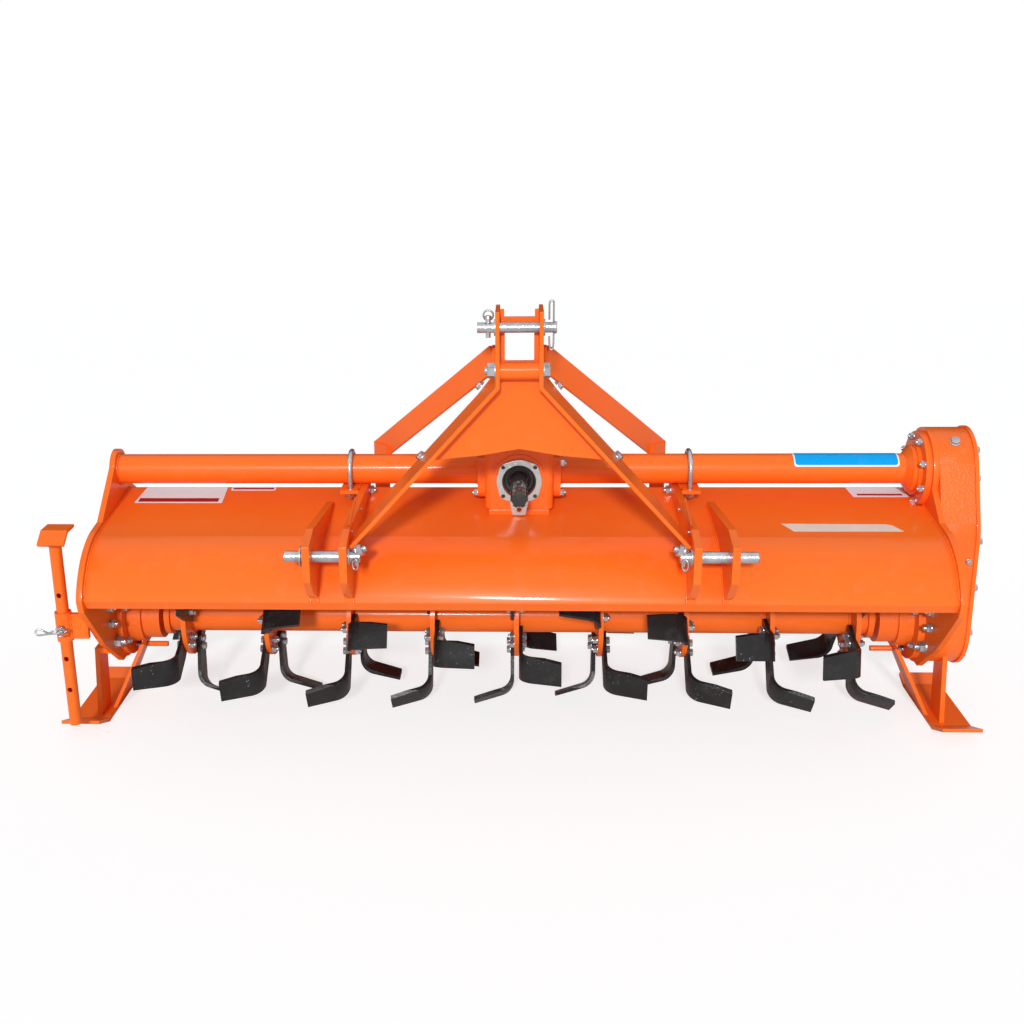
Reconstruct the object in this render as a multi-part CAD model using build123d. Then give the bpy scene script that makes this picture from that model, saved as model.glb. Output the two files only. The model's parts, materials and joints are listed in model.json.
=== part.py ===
from build123d import *
import os
from math import atan2, cos, hypot, radians, sin, sqrt, tan

# Mounted rotavator (rotary tiller) for a three-point linkage, 1.7 m working width.
# Frame: millimetres, +X along the rotor towards the side gear case, +Y to the rear, +Z up, floor at
# Z = 0.  Side views are drawn about the rotor's axis: (y, z) = (0, 0) is that axis.

# ---------------------------------------------------------------- driving dimensions (mm)
# rotor
tip_radius = 206.0            # from the rotor's axis to the tine tips
tip_clearance = 6.0           # tine tips above the floor while the skids stand on it
rotor_height = tip_radius + tip_clearance
rotor_y = -26.5               # rotor axis from the middle of the machine
hitch_x = 10.0                # middle of hitch and gearbox, towards the gear case
flanges_each_side = 4         # of the middle flange
flange_margin = 142.0         # last flange from the end plate
flange_shift = 5.0            # middle flange from the machine's middle
rotor_tube_radius = 38.0
collar_radius, collar_length = 46.0, 12.0
tine_flange_radius = 90.0
tine_flange_thickness = 10.0
tines_per_hand = 3            # on each face of a flange
first_lip_angle = 17.8        # foremost +X tine of the middle flange, below level
helix_step = 120.0 / 9        # from one flange to the next
tine_thickness = 8.0
tine_reach = 88.0             # sideways reach of a tine from its flange's face
tine_root_radius = 48.0       # where the shank starts
tine_bend_radius = 30.0       # inside the bend
tine_bend_angle = 73.0
tine_relief = 23.0            # cutting edge further out than the heel
lip_width_tip, lip_width_bend = 48.0, 57.0
stub_radius = 22.5            # rotor stub shafts in the end bearings
stub_length = 78.0
weld_gap = 0.1                # root gap between parts welded or bolted face to face
run_gap = 0.5                 # radial running clearance of shafts and slides
hub_gap = 8.0                 # rotor collar from the bearing hub

# hood and end plates
hood_half_width = 860.0       # inner faces of the end plates
sheet = 5.0                   # hood and trailing board sheet
side_plate_thickness = 12.0
plate_rim = 9.0               # end plates stand proud of the hood by this
lip_y, lip_z = -262.0, 131.0
fold_y, fold_z = -148.0, 231.5
front_bulge = 20.0            # rise of the front panel's curve over its chord
hood_notch_gap = 3.0          # round the drive tube's flange
crest_y, crest_z = 92.0, 265.0
rear_y, rear_z = 236.0, 182.0

# end bearings
hub_steps = ((90.0, 14.0), (62.0, 31.0), (54.0, 39.0))   # radius, length, from the plate inwards
hub_length = sum(length for _, length in hub_steps)

# cross tube and gearbox
tube_y, tube_z = 47.0, 320.0
tube_radius = 32.0
ear_radius = 44.0
joint_plate_thickness = 8.0
joint_plate_depth, joint_plate_height, joint_plate_corner = 114.0, 86.0, 20.0
gearbox_half_width = 71.5
gearbox_foot_half_width = 63.0
gearbox_front, gearbox_rear = -45.0, 130.0
gearbox_top = 398.0
cap_radius, seal_radius = 47.0, 35.0
cap_thickness = 6.0
tab_length = 26.0
seal_depth = 12.0
pto_radius = 17.5             # 1 3/8 inch, six splines
pto_end_y = -181.0
pto_spline_length = 76.0
spline_depth = 2.6

# side gear case at the +X end
case_depth = 70.0
case_circles = ((47.0, 320.0, 88.0), (12.0, 200.0, 100.0), (0.0, 0.0, 95.0))   # y, z, radius
case_flange_radius = 80.0
case_flange_thickness = 12.0
cover_thickness = 8.0
cover_lip = 3.0

# hitch
pin_y, pin_z = -302.0, 243.0
cat1_span, cat2_span = 683.0, 825.0   # shoulder spans: inside the clevis, and on the outer stubs
cheek_thickness = 15.0
cheek_nose = 34.0             # in front of the pin
cheek_skin = 0.3              # weld gap to the hood
lower_pin_radius = 11.0       # free stub, category 1
lower_pin_body_radius = 11.5  # where the pin runs through its cheeks
lower_pin_stub = 40.0         # free end outside the outer cheek
lower_pin_chamfer = 2.0
lower_pin_inner = 22.0        # end inside the inner cheek, drilled for its clip
top_pin_radius = 9.5
mast_half_width = 44.0        # outer faces of the masts
mast_thickness = 8.0
mast_front_y = -300.0
mast_top_z = 709.0
top_pin_y, top_pin_z = -280.0, mast_top_z - 31.0
mast_straight = 138.0         # upright part above the bend
mast_bend_z = mast_top_z - mast_straight
mast_top_depth = 96.0
leg_foot_z = 262.0
leg_depth = 200.0             # at the bend
leg_lower_depth = 130.0
panel_recess = 34.0
panel_thickness = 8.0

# stand
stand_offset, stand_y = 50.0, -216.0   # from the left end plate's outer face
stand_radius = 12.5
stand_bore = 9.0
stand_bottom_z, stand_top_z = -162.0, 265.0
stand_hole_pitch = 70.0
stand_hole_radius = 5.5
stand_pin_radius = 5.0
sleeve_z, sleeve_length, sleeve_wall = 60.0, 62.0, 4.0

# skids
skid_offset, skid_width = 28.0, 70.0   # from the end plate's outer face
skid_thickness = 8.0
skid_front, skid_rear = -175.0, 130.0
skid_post_thickness = 10.0

# trailing board
hinge_y, hinge_z = 252.0, 172.0
board_bottom_y, board_bottom_z = 318.0, -150.0
rod_x = cat1_span / 2 + 19.6   # hanging rods, behind the clamps of the cross tube
rod_radius = 8.0

sole_z = -rotor_height
end_plate_outer = hood_half_width + side_plate_thickness
stand_x = -end_plate_outer - stand_offset
skid_inner = end_plate_outer + skid_offset
skid_outer = skid_inner + skid_width
flange_pitch = (hood_half_width - flange_margin) / flanges_each_side
case_inner = end_plate_outer + weld_gap
PARTS = {}


# ---------------------------------------------------------------- drawing planes and helpers
def side_plane(x):
    """Side view plane at x: draws (y, z) about the rotor's axis, extrudes to +X."""
    return Plane(origin=(x, rotor_y, rotor_height), x_dir=(0, 1, 0), z_dir=(1, 0, 0))


def front_plane(y):
    """Front view plane at y: draws (x, z) about the rotor's axis, extrudes forward (-Y)."""
    return Plane(origin=(0, rotor_y + y, rotor_height), x_dir=(1, 0, 0), z_dir=(0, -1, 0))


def floor_plane(z):
    """Plan view plane at z above the rotor's axis: draws (x, y), extrudes up."""
    return Plane(origin=(0, rotor_y, rotor_height + z), x_dir=(1, 0, 0), z_dir=(0, 0, 1))


def side_plate(points, x, thickness):
    """A flat plate standing lengthwise, cut to a side outline."""
    return extrude(side_plane(x) * make_face(Polyline(*points, close=True)), amount=thickness)


def rod_x_axis(y, z, radius, x0, x1):
    """A round bar along X from x0 to x1."""
    return extrude(side_plane(x0) * Pos(y, z) * Circle(radius), amount=x1 - x0)


def rod_y_axis(x, z, radius, y0, y1):
    """A round bar along Y from y0 back to y1."""
    return extrude(front_plane(y1) * Pos(x, z) * Circle(radius), amount=y1 - y0)


def upright(x, y, radius, z0, z1):
    """A round bar along Z from z0 to z1."""
    return extrude(floor_plane(z0) * Pos(x, y) * Circle(radius), amount=z1 - z0)


def sheet_outline(line, thickness):
    """The closed outline of a bent sheet whose outer face follows a line of (y, z) points."""
    inner = offset_line(line, thickness)
    return list(line) + list(reversed(inner))


def offset_line(line, distance):
    """The line moved sideways by a distance, towards its right-hand side."""
    moved = []
    count = len(line)
    for i, (y, z) in enumerate(line):
        before = line[max(i - 1, 0)]
        after = line[min(i + 1, count - 1)]
        first = unit(before, (y, z)) if i > 0 else unit((y, z), after)
        second = unit((y, z), after) if i < count - 1 else first
        normal = (first[1] + second[1], -first[0] - second[0])
        size = hypot(*normal)
        half = sqrt((1 + first[0] * second[0] + first[1] * second[1]) / 2)
        scale = distance / (size * half)
        moved.append((y + normal[0] * scale, z + normal[1] * scale))
    return moved


def unit(start, end):
    length = hypot(end[0] - start[0], end[1] - start[1])
    return ((end[0] - start[0]) / length, (end[1] - start[1]) / length)


def hood_top_z(y):
    """Height of the hood's top panel above the rotor's axis."""
    return fold_z + (y - fold_y) * (crest_z - fold_z) / (crest_y - fold_y)


def keep(name, solid):
    PARTS[name] = solid


def keep_on_hitch(name, solid):
    """Keeps a piece drawn about the hitch's own middle."""
    PARTS[name] = Pos(hitch_x, 0, 0) * solid


# ---------------------------------------------------------------- hood
front_chord = Vector(fold_y - lip_y, fold_z - lip_z)
front_out = Vector(-front_chord.Y, front_chord.X).normalized()
front_radius = (front_chord.length ** 2 / 4 + front_bulge ** 2) / (2 * front_bulge)
front_centre = Vector(lip_y, lip_z) + front_chord / 2 + front_out * (front_bulge - front_radius)
lip_end_y, lip_end_z = -250.0, 111.0


def front_curve(grow):
    """The front panel's curve, grown outwards: its lower end, middle and upper end as (y, z)."""
    ends = []
    for y, z in ((lip_y, lip_z), (fold_y, fold_z)):
        ends.append(front_centre + (Vector(y, z) - front_centre) * ((front_radius + grow) / front_radius))
    middle = front_centre + front_out * (front_radius + grow)
    return [(p.X, p.Y) for p in (ends[0], middle, ends[1])]


def hood_shell():
    """Folded hood: short lip, curved front panel, flat top and rear panels, one sheet."""
    panels = offset_line([(fold_y, fold_z), (crest_y, crest_z), (rear_y, rear_z)], sheet)
    lips = offset_line([(lip_end_y, lip_end_z), (lip_y, lip_z)], sheet)
    outer = front_curve(0)
    inner = front_curve(-sheet)
    outline = Polyline((lip_end_y, lip_end_z), outer[0]) + ThreePointArc(*outer)
    outline += Polyline(outer[2], (crest_y, crest_z), (rear_y, rear_z), panels[2], panels[1], inner[2])
    outline += ThreePointArc(*reversed(inner))
    outline += Polyline(inner[0], lips[0], (lip_end_y, lip_end_z))
    hood = extrude(side_plane(-hood_half_width) * make_face(outline), amount=2 * hood_half_width)
    notch = hood_half_width - case_flange_thickness - hood_notch_gap
    return hood - rod_x_axis(tube_y, tube_z, case_flange_radius + hood_notch_gap, notch, hood_half_width + 1)


def end_plate(side):
    """End plate: a rim round the hood's curve, an ear about the tube and a round bearing seat."""
    curve = front_curve(plate_rim)
    rim_z = hood_top_z(crest_y) + plate_rim
    outline = Polyline((-165, -5), (curve[0][0] + 6, curve[0][1] - 26), curve[0]) + ThreePointArc(*curve)
    outline += Polyline(curve[2], (-104, hood_top_z(-104) + plate_rim), (tube_y - 40, tube_z + 16),
                        (tube_y + 40, tube_z + 16), (crest_y + 12, rim_z), (rear_y + 2, rear_z + plate_rim),
                        (rear_y + 6, rear_z - 40), (120, -40), (60, -88), (-60, -88), (-165, -5))
    ear = Pos(tube_y, tube_z) * Circle(ear_radius if side < 0 else case_circles[0][2])
    plate_x = -end_plate_outer if side < 0 else hood_half_width
    seat = Circle(hub_steps[0][0] + 6)
    plate = extrude(side_plane(plate_x) * (make_face(outline) + ear + seat), amount=side_plate_thickness)
    return plate - rod_x_axis(0, 0, hub_steps[2][0], plate_x - 1, plate_x + side_plate_thickness + 1)


keep("hood_shell", hood_shell())
keep("end_plate_left", end_plate(-1))
keep("end_plate_right", end_plate(1))

# ---------------------------------------------------------------- cross tube and gearbox
joint_offset = gearbox_half_width + joint_plate_thickness
joint_z = tube_z - 8.0


def joint_plate(start):
    """Round-cornered plate between the gearbox's side and a tube, from x = start."""
    shape = RectangleRounded(joint_plate_depth, joint_plate_height, joint_plate_corner)
    return extrude(side_plane(start) * Pos(tube_y, joint_z) * shape, amount=joint_plate_thickness)


def cross_tube():
    end = hitch_x - joint_offset - weld_gap
    tube = rod_x_axis(tube_y, tube_z, tube_radius, -hood_half_width, end)
    return tube + joint_plate(end - joint_plate_thickness)


def drive_tube():
    """Tube round the drive shaft, with its plate on the gearbox, and its cone and flange on the end plate."""
    start = hitch_x + joint_offset + weld_gap
    face = hood_half_width - weld_gap
    hub = face - case_flange_thickness
    profile = [
        (start, 0), (start, tube_radius), (hub - 27, tube_radius), (hub - 15, 50), (hub - 8, 50),
        (hub - 8, 56), (hub, 56), (hub, case_flange_radius), (face, case_flange_radius), (face, 0),
    ]
    plane = Plane(origin=(0, rotor_y + tube_y, rotor_height + tube_z), x_dir=(1, 0, 0), z_dir=(0, -1, 0))
    tube = revolve(plane * make_face(Polyline(*profile, close=True)), axis=Axis(plane.origin, (1, 0, 0)),
                   revolution_arc=360)
    return tube + joint_plate(start)


def gearbox():
    """Cast body on the hood's top panel, with a joint plate at each side and a seal's recess in front."""
    front_z = hood_top_z(gearbox_front)
    rear_foot_z = hood_top_z(crest_y)
    outline = [
        (gearbox_front, front_z + 12), (gearbox_front, gearbox_top - 18), (gearbox_front + 18, gearbox_top),
        (gearbox_rear - 22, gearbox_top), (gearbox_rear, gearbox_top - 22), (gearbox_rear, rear_foot_z + 14),
        (crest_y, rear_foot_z + 12),
    ]
    body = side_plate(outline, -gearbox_half_width, 2 * gearbox_half_width)
    body = fillet(body.edges().filter_by(Axis.Z), 12)
    for start in (-joint_offset, gearbox_half_width):
        body += joint_plate(start)
    boss_front = gearbox_front - 4
    body += rod_y_axis(0, tube_z, cap_radius + 9, boss_front, gearbox_front)
    body -= rod_y_axis(0, tube_z, seal_radius, boss_front - 1, boss_front + seal_depth)
    return body - rod_y_axis(0, tube_z, pto_radius + run_gap, boss_front, gearbox_front + 60)


def gearbox_base():
    """Sole plate between the gearbox and the hood."""
    front, rear = gearbox_front - 3.5, crest_y
    line = [(front, hood_top_z(front) + weld_gap), (rear, crest_z + weld_gap)]
    outline = [line[0], line[1], (rear, line[1][1] + 11.8), (front, line[0][1] + 11.8)]
    return side_plate(outline, -gearbox_foot_half_width, 2 * gearbox_foot_half_width)


def input_cap():
    """Ring round the input shaft's seal, squared for its four bolts, with the tab that a guard is screwed to."""
    ring = Circle(cap_radius) + RectangleRounded(1.83 * cap_radius, 1.79 * cap_radius, cap_radius / 2)
    tab_end = -cap_radius - tab_length
    tab = make_face(Polyline((-20, -40), (20, -40), (13.5, tab_end), (-13.5, tab_end), close=True))
    sketch = ring + tab - Circle(seal_radius) - Pos(0, tab_end + 12) * Circle(5)
    plane = front_plane(gearbox_front - 4 - weld_gap) * Pos(0, tube_z)
    return extrude(plane * sketch, amount=cap_thickness)


def pto_shaft():
    """Input shaft: six splines in front, cut by a groove for the yoke's lock."""
    shaft = rod_y_axis(0, tube_z, pto_radius, pto_end_y, gearbox_front + 50)
    root = pto_radius - spline_depth
    gaps = Sketch()
    for i in range(6):
        gaps += Rot(0, 0, 60 * i + 30) * Pos(pto_radius, 0) * Rectangle(8, 8.6)
    ring = Circle(pto_radius + 1) - Circle(root)
    shaft -= extrude(front_plane(pto_end_y + pto_spline_length) * Pos(0, tube_z) * (gaps & ring),
                     amount=pto_spline_length + 1)
    lock = front_plane(pto_end_y + 32) * Pos(0, tube_z) * (Circle(pto_radius + 1) - Circle(root))
    return shaft - extrude(lock, amount=8)


keep("cross_tube", cross_tube())
keep("drive_tube", drive_tube())
keep_on_hitch("gearbox_housing", gearbox())
keep_on_hitch("gearbox_base", gearbox_base())
keep_on_hitch("input_cap", input_cap())
keep_on_hitch("pto_shaft", pto_shaft())


# ---------------------------------------------------------------- side gear case and end bearings
def case_outline(grow):
    circles = Sketch()
    for y, z, radius in case_circles:
        circles += Pos(y, z) * Circle(radius + grow)
    return make_hull(circles.edges())


def side_case():
    return extrude(side_plane(case_inner) * case_outline(0), amount=case_depth)


def side_cover():
    return extrude(side_plane(case_inner + case_depth + weld_gap) * case_outline(cover_lip), amount=cover_thickness)


def end_hub(side):
    """Stepped bearing hub bolted inside the end plate, bored for the rotor's stub shaft."""
    hub = Part()
    face_x = hood_half_width - weld_gap
    for radius, length in hub_steps:
        hub += rod_x_axis(0, 0, radius, face_x - length, face_x)
        face_x -= length
    hub -= rod_x_axis(0, 0, stub_radius + run_gap, face_x - 1, hood_half_width - 6)
    return hub if side > 0 else mirror(hub, about=Plane.YZ)


keep("side_gear_case", side_case())
keep("side_case_cover", side_cover())
keep("bearing_hub_left", end_hub(-1))
keep("bearing_hub_right", end_hub(1))


# ---------------------------------------------------------------- rotor
def tine():
    """One L-shaped tine for a +X face, its lip upwards; x = 0 is its seat.

    The bend runs slantwise across the blank, so that the cutting edge (-Y) lies further out than the heel.
    """
    slant = radians(tine_relief)
    turn = radians(tine_bend_angle)
    t, bend = tine_thickness, tine_bend_radius
    half_tip = lip_width_tip / 2
    lip_radius = sqrt(tip_radius ** 2 - (half_tip * cos(slant)) ** 2) - half_tip * sin(slant)
    # profile across the bend: x sideways, w outwards, w = 0 level with the lip's end
    run = tine_reach - t - bend * (1 - cos(turn))
    rise = run / tan(turn)
    start_w = -rise - (bend + t) * sin(turn)
    inner_end = (t + bend * (1 - cos(turn)), start_w + bend * sin(turn))
    outer_end = ((bend + t) * (1 - cos(turn)), start_w + (bend + t) * sin(turn))
    mid = turn / 2
    outline = Polyline((0, -tip_radius), (t, -tip_radius), (t, start_w))
    outline += ThreePointArc((t, start_w), (t + bend * (1 - cos(mid)), start_w + bend * sin(mid)), inner_end)
    tip_x = tine_reach + t * cos(turn)
    outline += Polyline(inner_end, (tine_reach + t, inner_end[1] + (tine_reach + t - inner_end[0]) / tan(turn)),
                        (tine_reach + t, outer_end[1] + (tine_reach + t - outer_end[0]) / tan(turn)), outer_end)
    outline += ThreePointArc(outer_end, ((bend + t) * (1 - cos(mid)), start_w + (bend + t) * sin(mid)), (0, start_w))
    outline += Line((0, start_w), (0, -tip_radius))
    plane = Plane(origin=(0, 0, lip_radius), x_dir=(1, 0, 0), z_dir=(0, -cos(slant), sin(slant)))
    strip = extrude(plane * make_face(outline), amount=tip_radius, both=True)

    def flat(along, across):
        """A point of the blank's outline as (y, z): along the bend to the cutting edge, and outwards."""
        return (across * sin(slant) - along * cos(slant), lip_radius + across * cos(slant) + along * sin(slant))

    heel = half_tip - lip_width_bend
    root_lead, root_heel = (-29, tine_root_radius - 4), (13, tine_root_radius + 3)
    lead, back = flat(half_tip, start_w), flat(heel, start_w)
    edge = Polyline(
        lead, flat(half_tip, t), flat(-half_tip, t), flat(-half_tip, 0), flat(heel, -rise), back,
        ((back[0] + root_heel[0]) / 2 - 6, (back[1] + root_heel[1]) / 2), root_heel, root_lead,
        ((lead[0] + root_lead[0]) / 2 - 5, (lead[1] + root_lead[1]) / 2), close=True)
    return strip & extrude(Plane.YZ * make_face(edge), amount=tine_reach)


def tine_gang(number, blank, mirrored):
    """The six tines of one flange, three bent to each side, the two hands spaced evenly round it."""
    seat = tine_flange_thickness / 2 + weld_gap
    spacing = 360 / tines_per_hand
    tines = []
    for k in range(tines_per_hand):
        front = 90 + first_lip_angle + helix_step * number + k * spacing
        tines.append(Rot(front, 0, 0) * Pos(seat, 0, 0) * blank)
        tines.append(Rot(front + spacing / 2, 0, 0) * Pos(-seat, 0, 0) * mirrored)
    return Pos(flange_shift + number * flange_pitch, rotor_y, rotor_height) * Compound(tines)


def rotor_tube():
    """Rotor tube with the tine flanges, an end collar and a stub shaft at each end."""
    end = hood_half_width - hub_length - hub_gap
    tube = rod_x_axis(0, 0, rotor_tube_radius, -end + collar_length, end - collar_length)
    for start in (-end, end - collar_length):
        tube += rod_x_axis(0, 0, collar_radius, start, start + collar_length)
    for x0, x1 in ((-end - stub_length, -end), (end, end + stub_length)):
        tube += rod_x_axis(0, 0, stub_radius, x0, x1)
    for number in range(-flanges_each_side, flanges_each_side + 1):
        middle = flange_shift + number * flange_pitch
        tube += rod_x_axis(0, 0, tine_flange_radius, middle - tine_flange_thickness / 2,
                           middle + tine_flange_thickness / 2)
    return tube


keep("rotor_tube", rotor_tube())
tine_blank = tine()
tine_mirrored = mirror(tine_blank, about=Plane.YZ)
for order, number in enumerate(range(-flanges_each_side, flanges_each_side + 1), start=1):
    keep(f"tine_gang_{order}", tine_gang(number, tine_blank, tine_mirrored))


# ---------------------------------------------------------------- hitch
inner_cheek_x = cat1_span / 2 - cheek_thickness      # inner face
outer_cheek_x = cat2_span / 2 - cheek_thickness


def cheek(x, rear_end_y, rear_end_z):
    """Hitch cheek: a gusset on the hood's front and top panels, with the pin's eye in front."""
    front = pin_y - cheek_nose
    skin = front_curve(cheek_skin)
    outline = Polyline(
        (rear_end_y, rear_end_z), (pin_y + 30, pin_z + 46), (front, pin_z + 30), (front, pin_z - 42),
        (front + 40, pin_z - 84), (skin[0][0], skin[0][1] + 10), skin[0])
    outline += ThreePointArc(*skin)
    outline += Polyline(skin[2], (rear_end_y, hood_top_z(rear_end_y) + cheek_skin), (rear_end_y, rear_end_z))
    plate = extrude(side_plane(x) * make_face(outline), amount=cheek_thickness)
    return plate - rod_x_axis(pin_y, pin_z, lower_pin_body_radius + 0.2, x - 1, x + cheek_thickness + 1)


def lower_pin(side):
    start = inner_cheek_x - lower_pin_inner
    shoulder = cat2_span / 2
    pin = rod_x_axis(pin_y, pin_z, lower_pin_radius, start, shoulder + lower_pin_stub)
    pin = chamfer(pin.edges().filter_by(GeomType.CIRCLE).sort_by(Axis.X)[-1], lower_pin_chamfer)
    pin += rod_x_axis(pin_y, pin_z, lower_pin_body_radius, start, shoulder)
    return pin if side > 0 else mirror(pin, about=Plane.YZ)


for label, side in (("left", -1), ("right", 1)):
    inner_x = inner_cheek_x if side > 0 else -inner_cheek_x - cheek_thickness
    outer_x = outer_cheek_x if side > 0 else -outer_cheek_x - cheek_thickness
    keep_on_hitch(f"hitch_cheek_inner_{label}", cheek(inner_x, crest_y - 4, tube_z - tube_radius - 0.2))
    keep_on_hitch(f"hitch_cheek_outer_{label}", cheek(outer_x, 0, hood_top_z(0) + 8))
    keep_on_hitch(f"hitch_pin_{label}", lower_pin(side))


mast_front_line = [(mast_half_width, mast_top_z), (mast_half_width, mast_bend_z),
                   (inner_cheek_x - 0.3, leg_foot_z)]


def mast_leg(side):
    """Mast plate with its leg bent outwards to the inner cheek."""
    t = mast_thickness
    front_line = mast_front_line
    face = make_face(Polyline(*sheet_outline(front_line, t), close=True))
    leg = extrude(front_plane(mast_front_y + leg_depth) * face, amount=leg_depth)
    lower_rear = mast_front_y + leg_lower_depth
    side_cut = [
        (mast_front_y - 1, mast_top_z + 1), (mast_front_y - 1, leg_foot_z - 20),
        (mast_front_y + 42, leg_foot_z - 20), (lower_rear, leg_foot_z + 70), (lower_rear, mast_bend_z - 40),
        (mast_front_y + leg_depth + 1, mast_bend_z + 30), (mast_front_y + mast_top_depth, mast_top_z + 1),
    ]
    leg &= side_plate(side_cut, 0, inner_cheek_x)
    leg -= rod_x_axis(top_pin_y, top_pin_z, top_pin_radius + 0.3, 0, 60)
    return leg if side > 0 else mirror(leg, about=Plane.YZ)


def mast_panel():
    """Plate between the masts and legs, arched over the gearbox and open for the top link."""
    arch_foot_z, arch_shoulder_z, arch_top_z, arch_half = 424.0, 433.0, 446.0, 75.0
    notch_half, notch_depth, band = 28.0, 14.0, 37.0
    top, bend, foot = offset_line(mast_front_line, mast_thickness + 0.3)
    share = (bend[1] - arch_foot_z) / (bend[1] - foot[1])
    right = [top, bend, (bend[0] + (foot[0] - bend[0]) * share, arch_foot_z), (arch_half, arch_shoulder_z)]
    outline = [(notch_half, mast_top_z), *right, (0, arch_top_z)]
    outline += [(-x, z) for x, z in reversed(right)]
    outline += [(-notch_half, mast_top_z), (-notch_half, mast_top_z - notch_depth),
                (notch_half, mast_top_z - notch_depth)]
    window_top, window_bottom = mast_top_z - band, spacer_z + spacer_radius - 1
    window = Pos(0, (window_top + window_bottom) / 2) * Rectangle(54, window_top - window_bottom)
    plane = front_plane(mast_front_y + panel_recess + panel_thickness)
    return extrude(plane * (make_face(Polyline(*outline, close=True)) - window), amount=panel_thickness)


spacer_y, spacer_z, spacer_radius = mast_front_y + 18, mast_bend_z + 28, 16.0
mast_inner = mast_half_width - mast_thickness
keep_on_hitch("mast_leg_left", mast_leg(-1))
keep_on_hitch("mast_leg_right", mast_leg(1))
keep_on_hitch("mast_panel", mast_panel())
keep_on_hitch("mast_spacer", rod_x_axis(spacer_y, spacer_z, spacer_radius, -mast_inner, mast_inner))
keep_on_hitch("top_link_pin", rod_x_axis(top_pin_y, top_pin_z, top_pin_radius, -mast_half_width - 33,
                                           mast_half_width + 24))


stay_width, stay_thickness = 48.0, 8.0
stay_inset, stay_rise = 150.0, 29.0          # upper end from the mast's front edge and bend
stay_top = Vector(mast_half_width + weld_gap + stay_thickness / 2, mast_front_y + stay_inset, mast_bend_z + stay_rise)
beam_front, beam_back = 168.0, 204.0
stay_foot = Vector(inner_cheek_x - 7.5, (beam_front + beam_back) / 2 + 1, tube_z + 2)
stay_length = (stay_foot - stay_top).length
stay_along = (stay_foot - stay_top).normalized()
stay_wide = (Vector(0, 0, 1) - stay_along * stay_along.Z).normalized()


def rear_stay(side):
    """Flat bar from the mast's outer face down to the lug on the hood's rear beam."""
    half = stay_thickness / 2
    origin = stay_top + Vector(0, rotor_y, rotor_height)
    section = Plane(origin=origin, x_dir=stay_wide, z_dir=stay_along) * Rectangle(stay_width, stay_thickness)
    tab = side_plate([(stay_top.Y - 46, stay_top.Z - 24), (stay_top.Y + 4, stay_top.Z - 27),
                      (stay_top.Y + 4, stay_top.Z + 23), (stay_top.Y - 46, stay_top.Z + 26)],
                     stay_top.X - half, stay_thickness)
    inside = Pos(0, stay_top.Y, stay_top.Z + rotor_height) * Box(
        2 * (mast_half_width + weld_gap), 2 * leg_depth, 2 * leg_depth)
    stay = extrude(section, amount=stay_length) + tab - inside
    return stay if side > 0 else mirror(stay, about=Plane.YZ)


keep_on_hitch("rear_stay_left", rear_stay(-1))
keep_on_hitch("rear_stay_right", rear_stay(1))


def rear_skin_z(y):
    """Height of the hood's rear panel above the rotor's axis."""
    return crest_z - (y - crest_y) * (crest_z - rear_z) / (rear_y - crest_y)


def rear_beam():
    """Angle along the hood's rear panel, with a lug for each stay."""
    wall, rise = 6.0, 26.0
    top_z = rear_skin_z(beam_back) + rise
    outline = [
        (beam_front, rear_skin_z(beam_front) + weld_gap), (beam_back, rear_skin_z(beam_back) + weld_gap),
        (beam_back, top_z), (beam_back - wall, top_z), (beam_back - wall, rear_skin_z(beam_back - wall) + wall),
        (beam_front, rear_skin_z(beam_front) + wall),
    ]
    beam = side_plate(outline, -hood_half_width + 2, 2 * hood_half_width - 4)
    plan = Vector(stay_along.X, stay_along.Y, 0).normalized()
    face_normal = plan.cross(Vector(0, 0, 1))
    offset = stay_foot - plan * 26 + face_normal * (stay_thickness / 2 + weld_gap)
    plane = Plane(origin=offset + Vector(0, rotor_y, rotor_height), x_dir=plan, z_dir=face_normal)
    bottom = rear_skin_z(stay_foot.Y) - stay_foot.Z
    lug = extrude(plane * Pos(0, (bottom + 24) / 2) * Rectangle(50, 24 - bottom), amount=stay_thickness)
    under_hood = [(crest_y, 0), (crest_y, crest_z + weld_gap), (rear_y, rear_z + weld_gap), (rear_y, 0)]
    lug -= side_plate(under_hood, 0, hood_half_width)
    return beam + Pos(hitch_x, 0, 0) * (lug + mirror(lug, about=Plane.YZ))


keep("rear_beam", rear_beam())

# ---------------------------------------------------------------- clamps of the cross tube
saddle_x = cat1_span / 2 + 0.1
saddle_width = 40.0
saddle_top = tube_z - tube_radius - 0.2
ubolt_radius = 6.0
ubolt_leg = tube_radius + ubolt_radius + 0.3
ubolt_nut = 9.0


def saddle(side):
    """Drilled shelf on the inner cheek, under the cross tube."""
    x = saddle_x + saddle_width / 2
    shelf = extrude(floor_plane(saddle_top - 8) * Pos(x, tube_y) * Rectangle(saddle_width, 116), amount=8)
    for leg in (-ubolt_leg, ubolt_leg):
        shelf -= upright(x, tube_y + leg, ubolt_radius + 1, saddle_top - 9, saddle_top + 1)
    return shelf if side > 0 else mirror(shelf, about=Plane.YZ)


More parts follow.
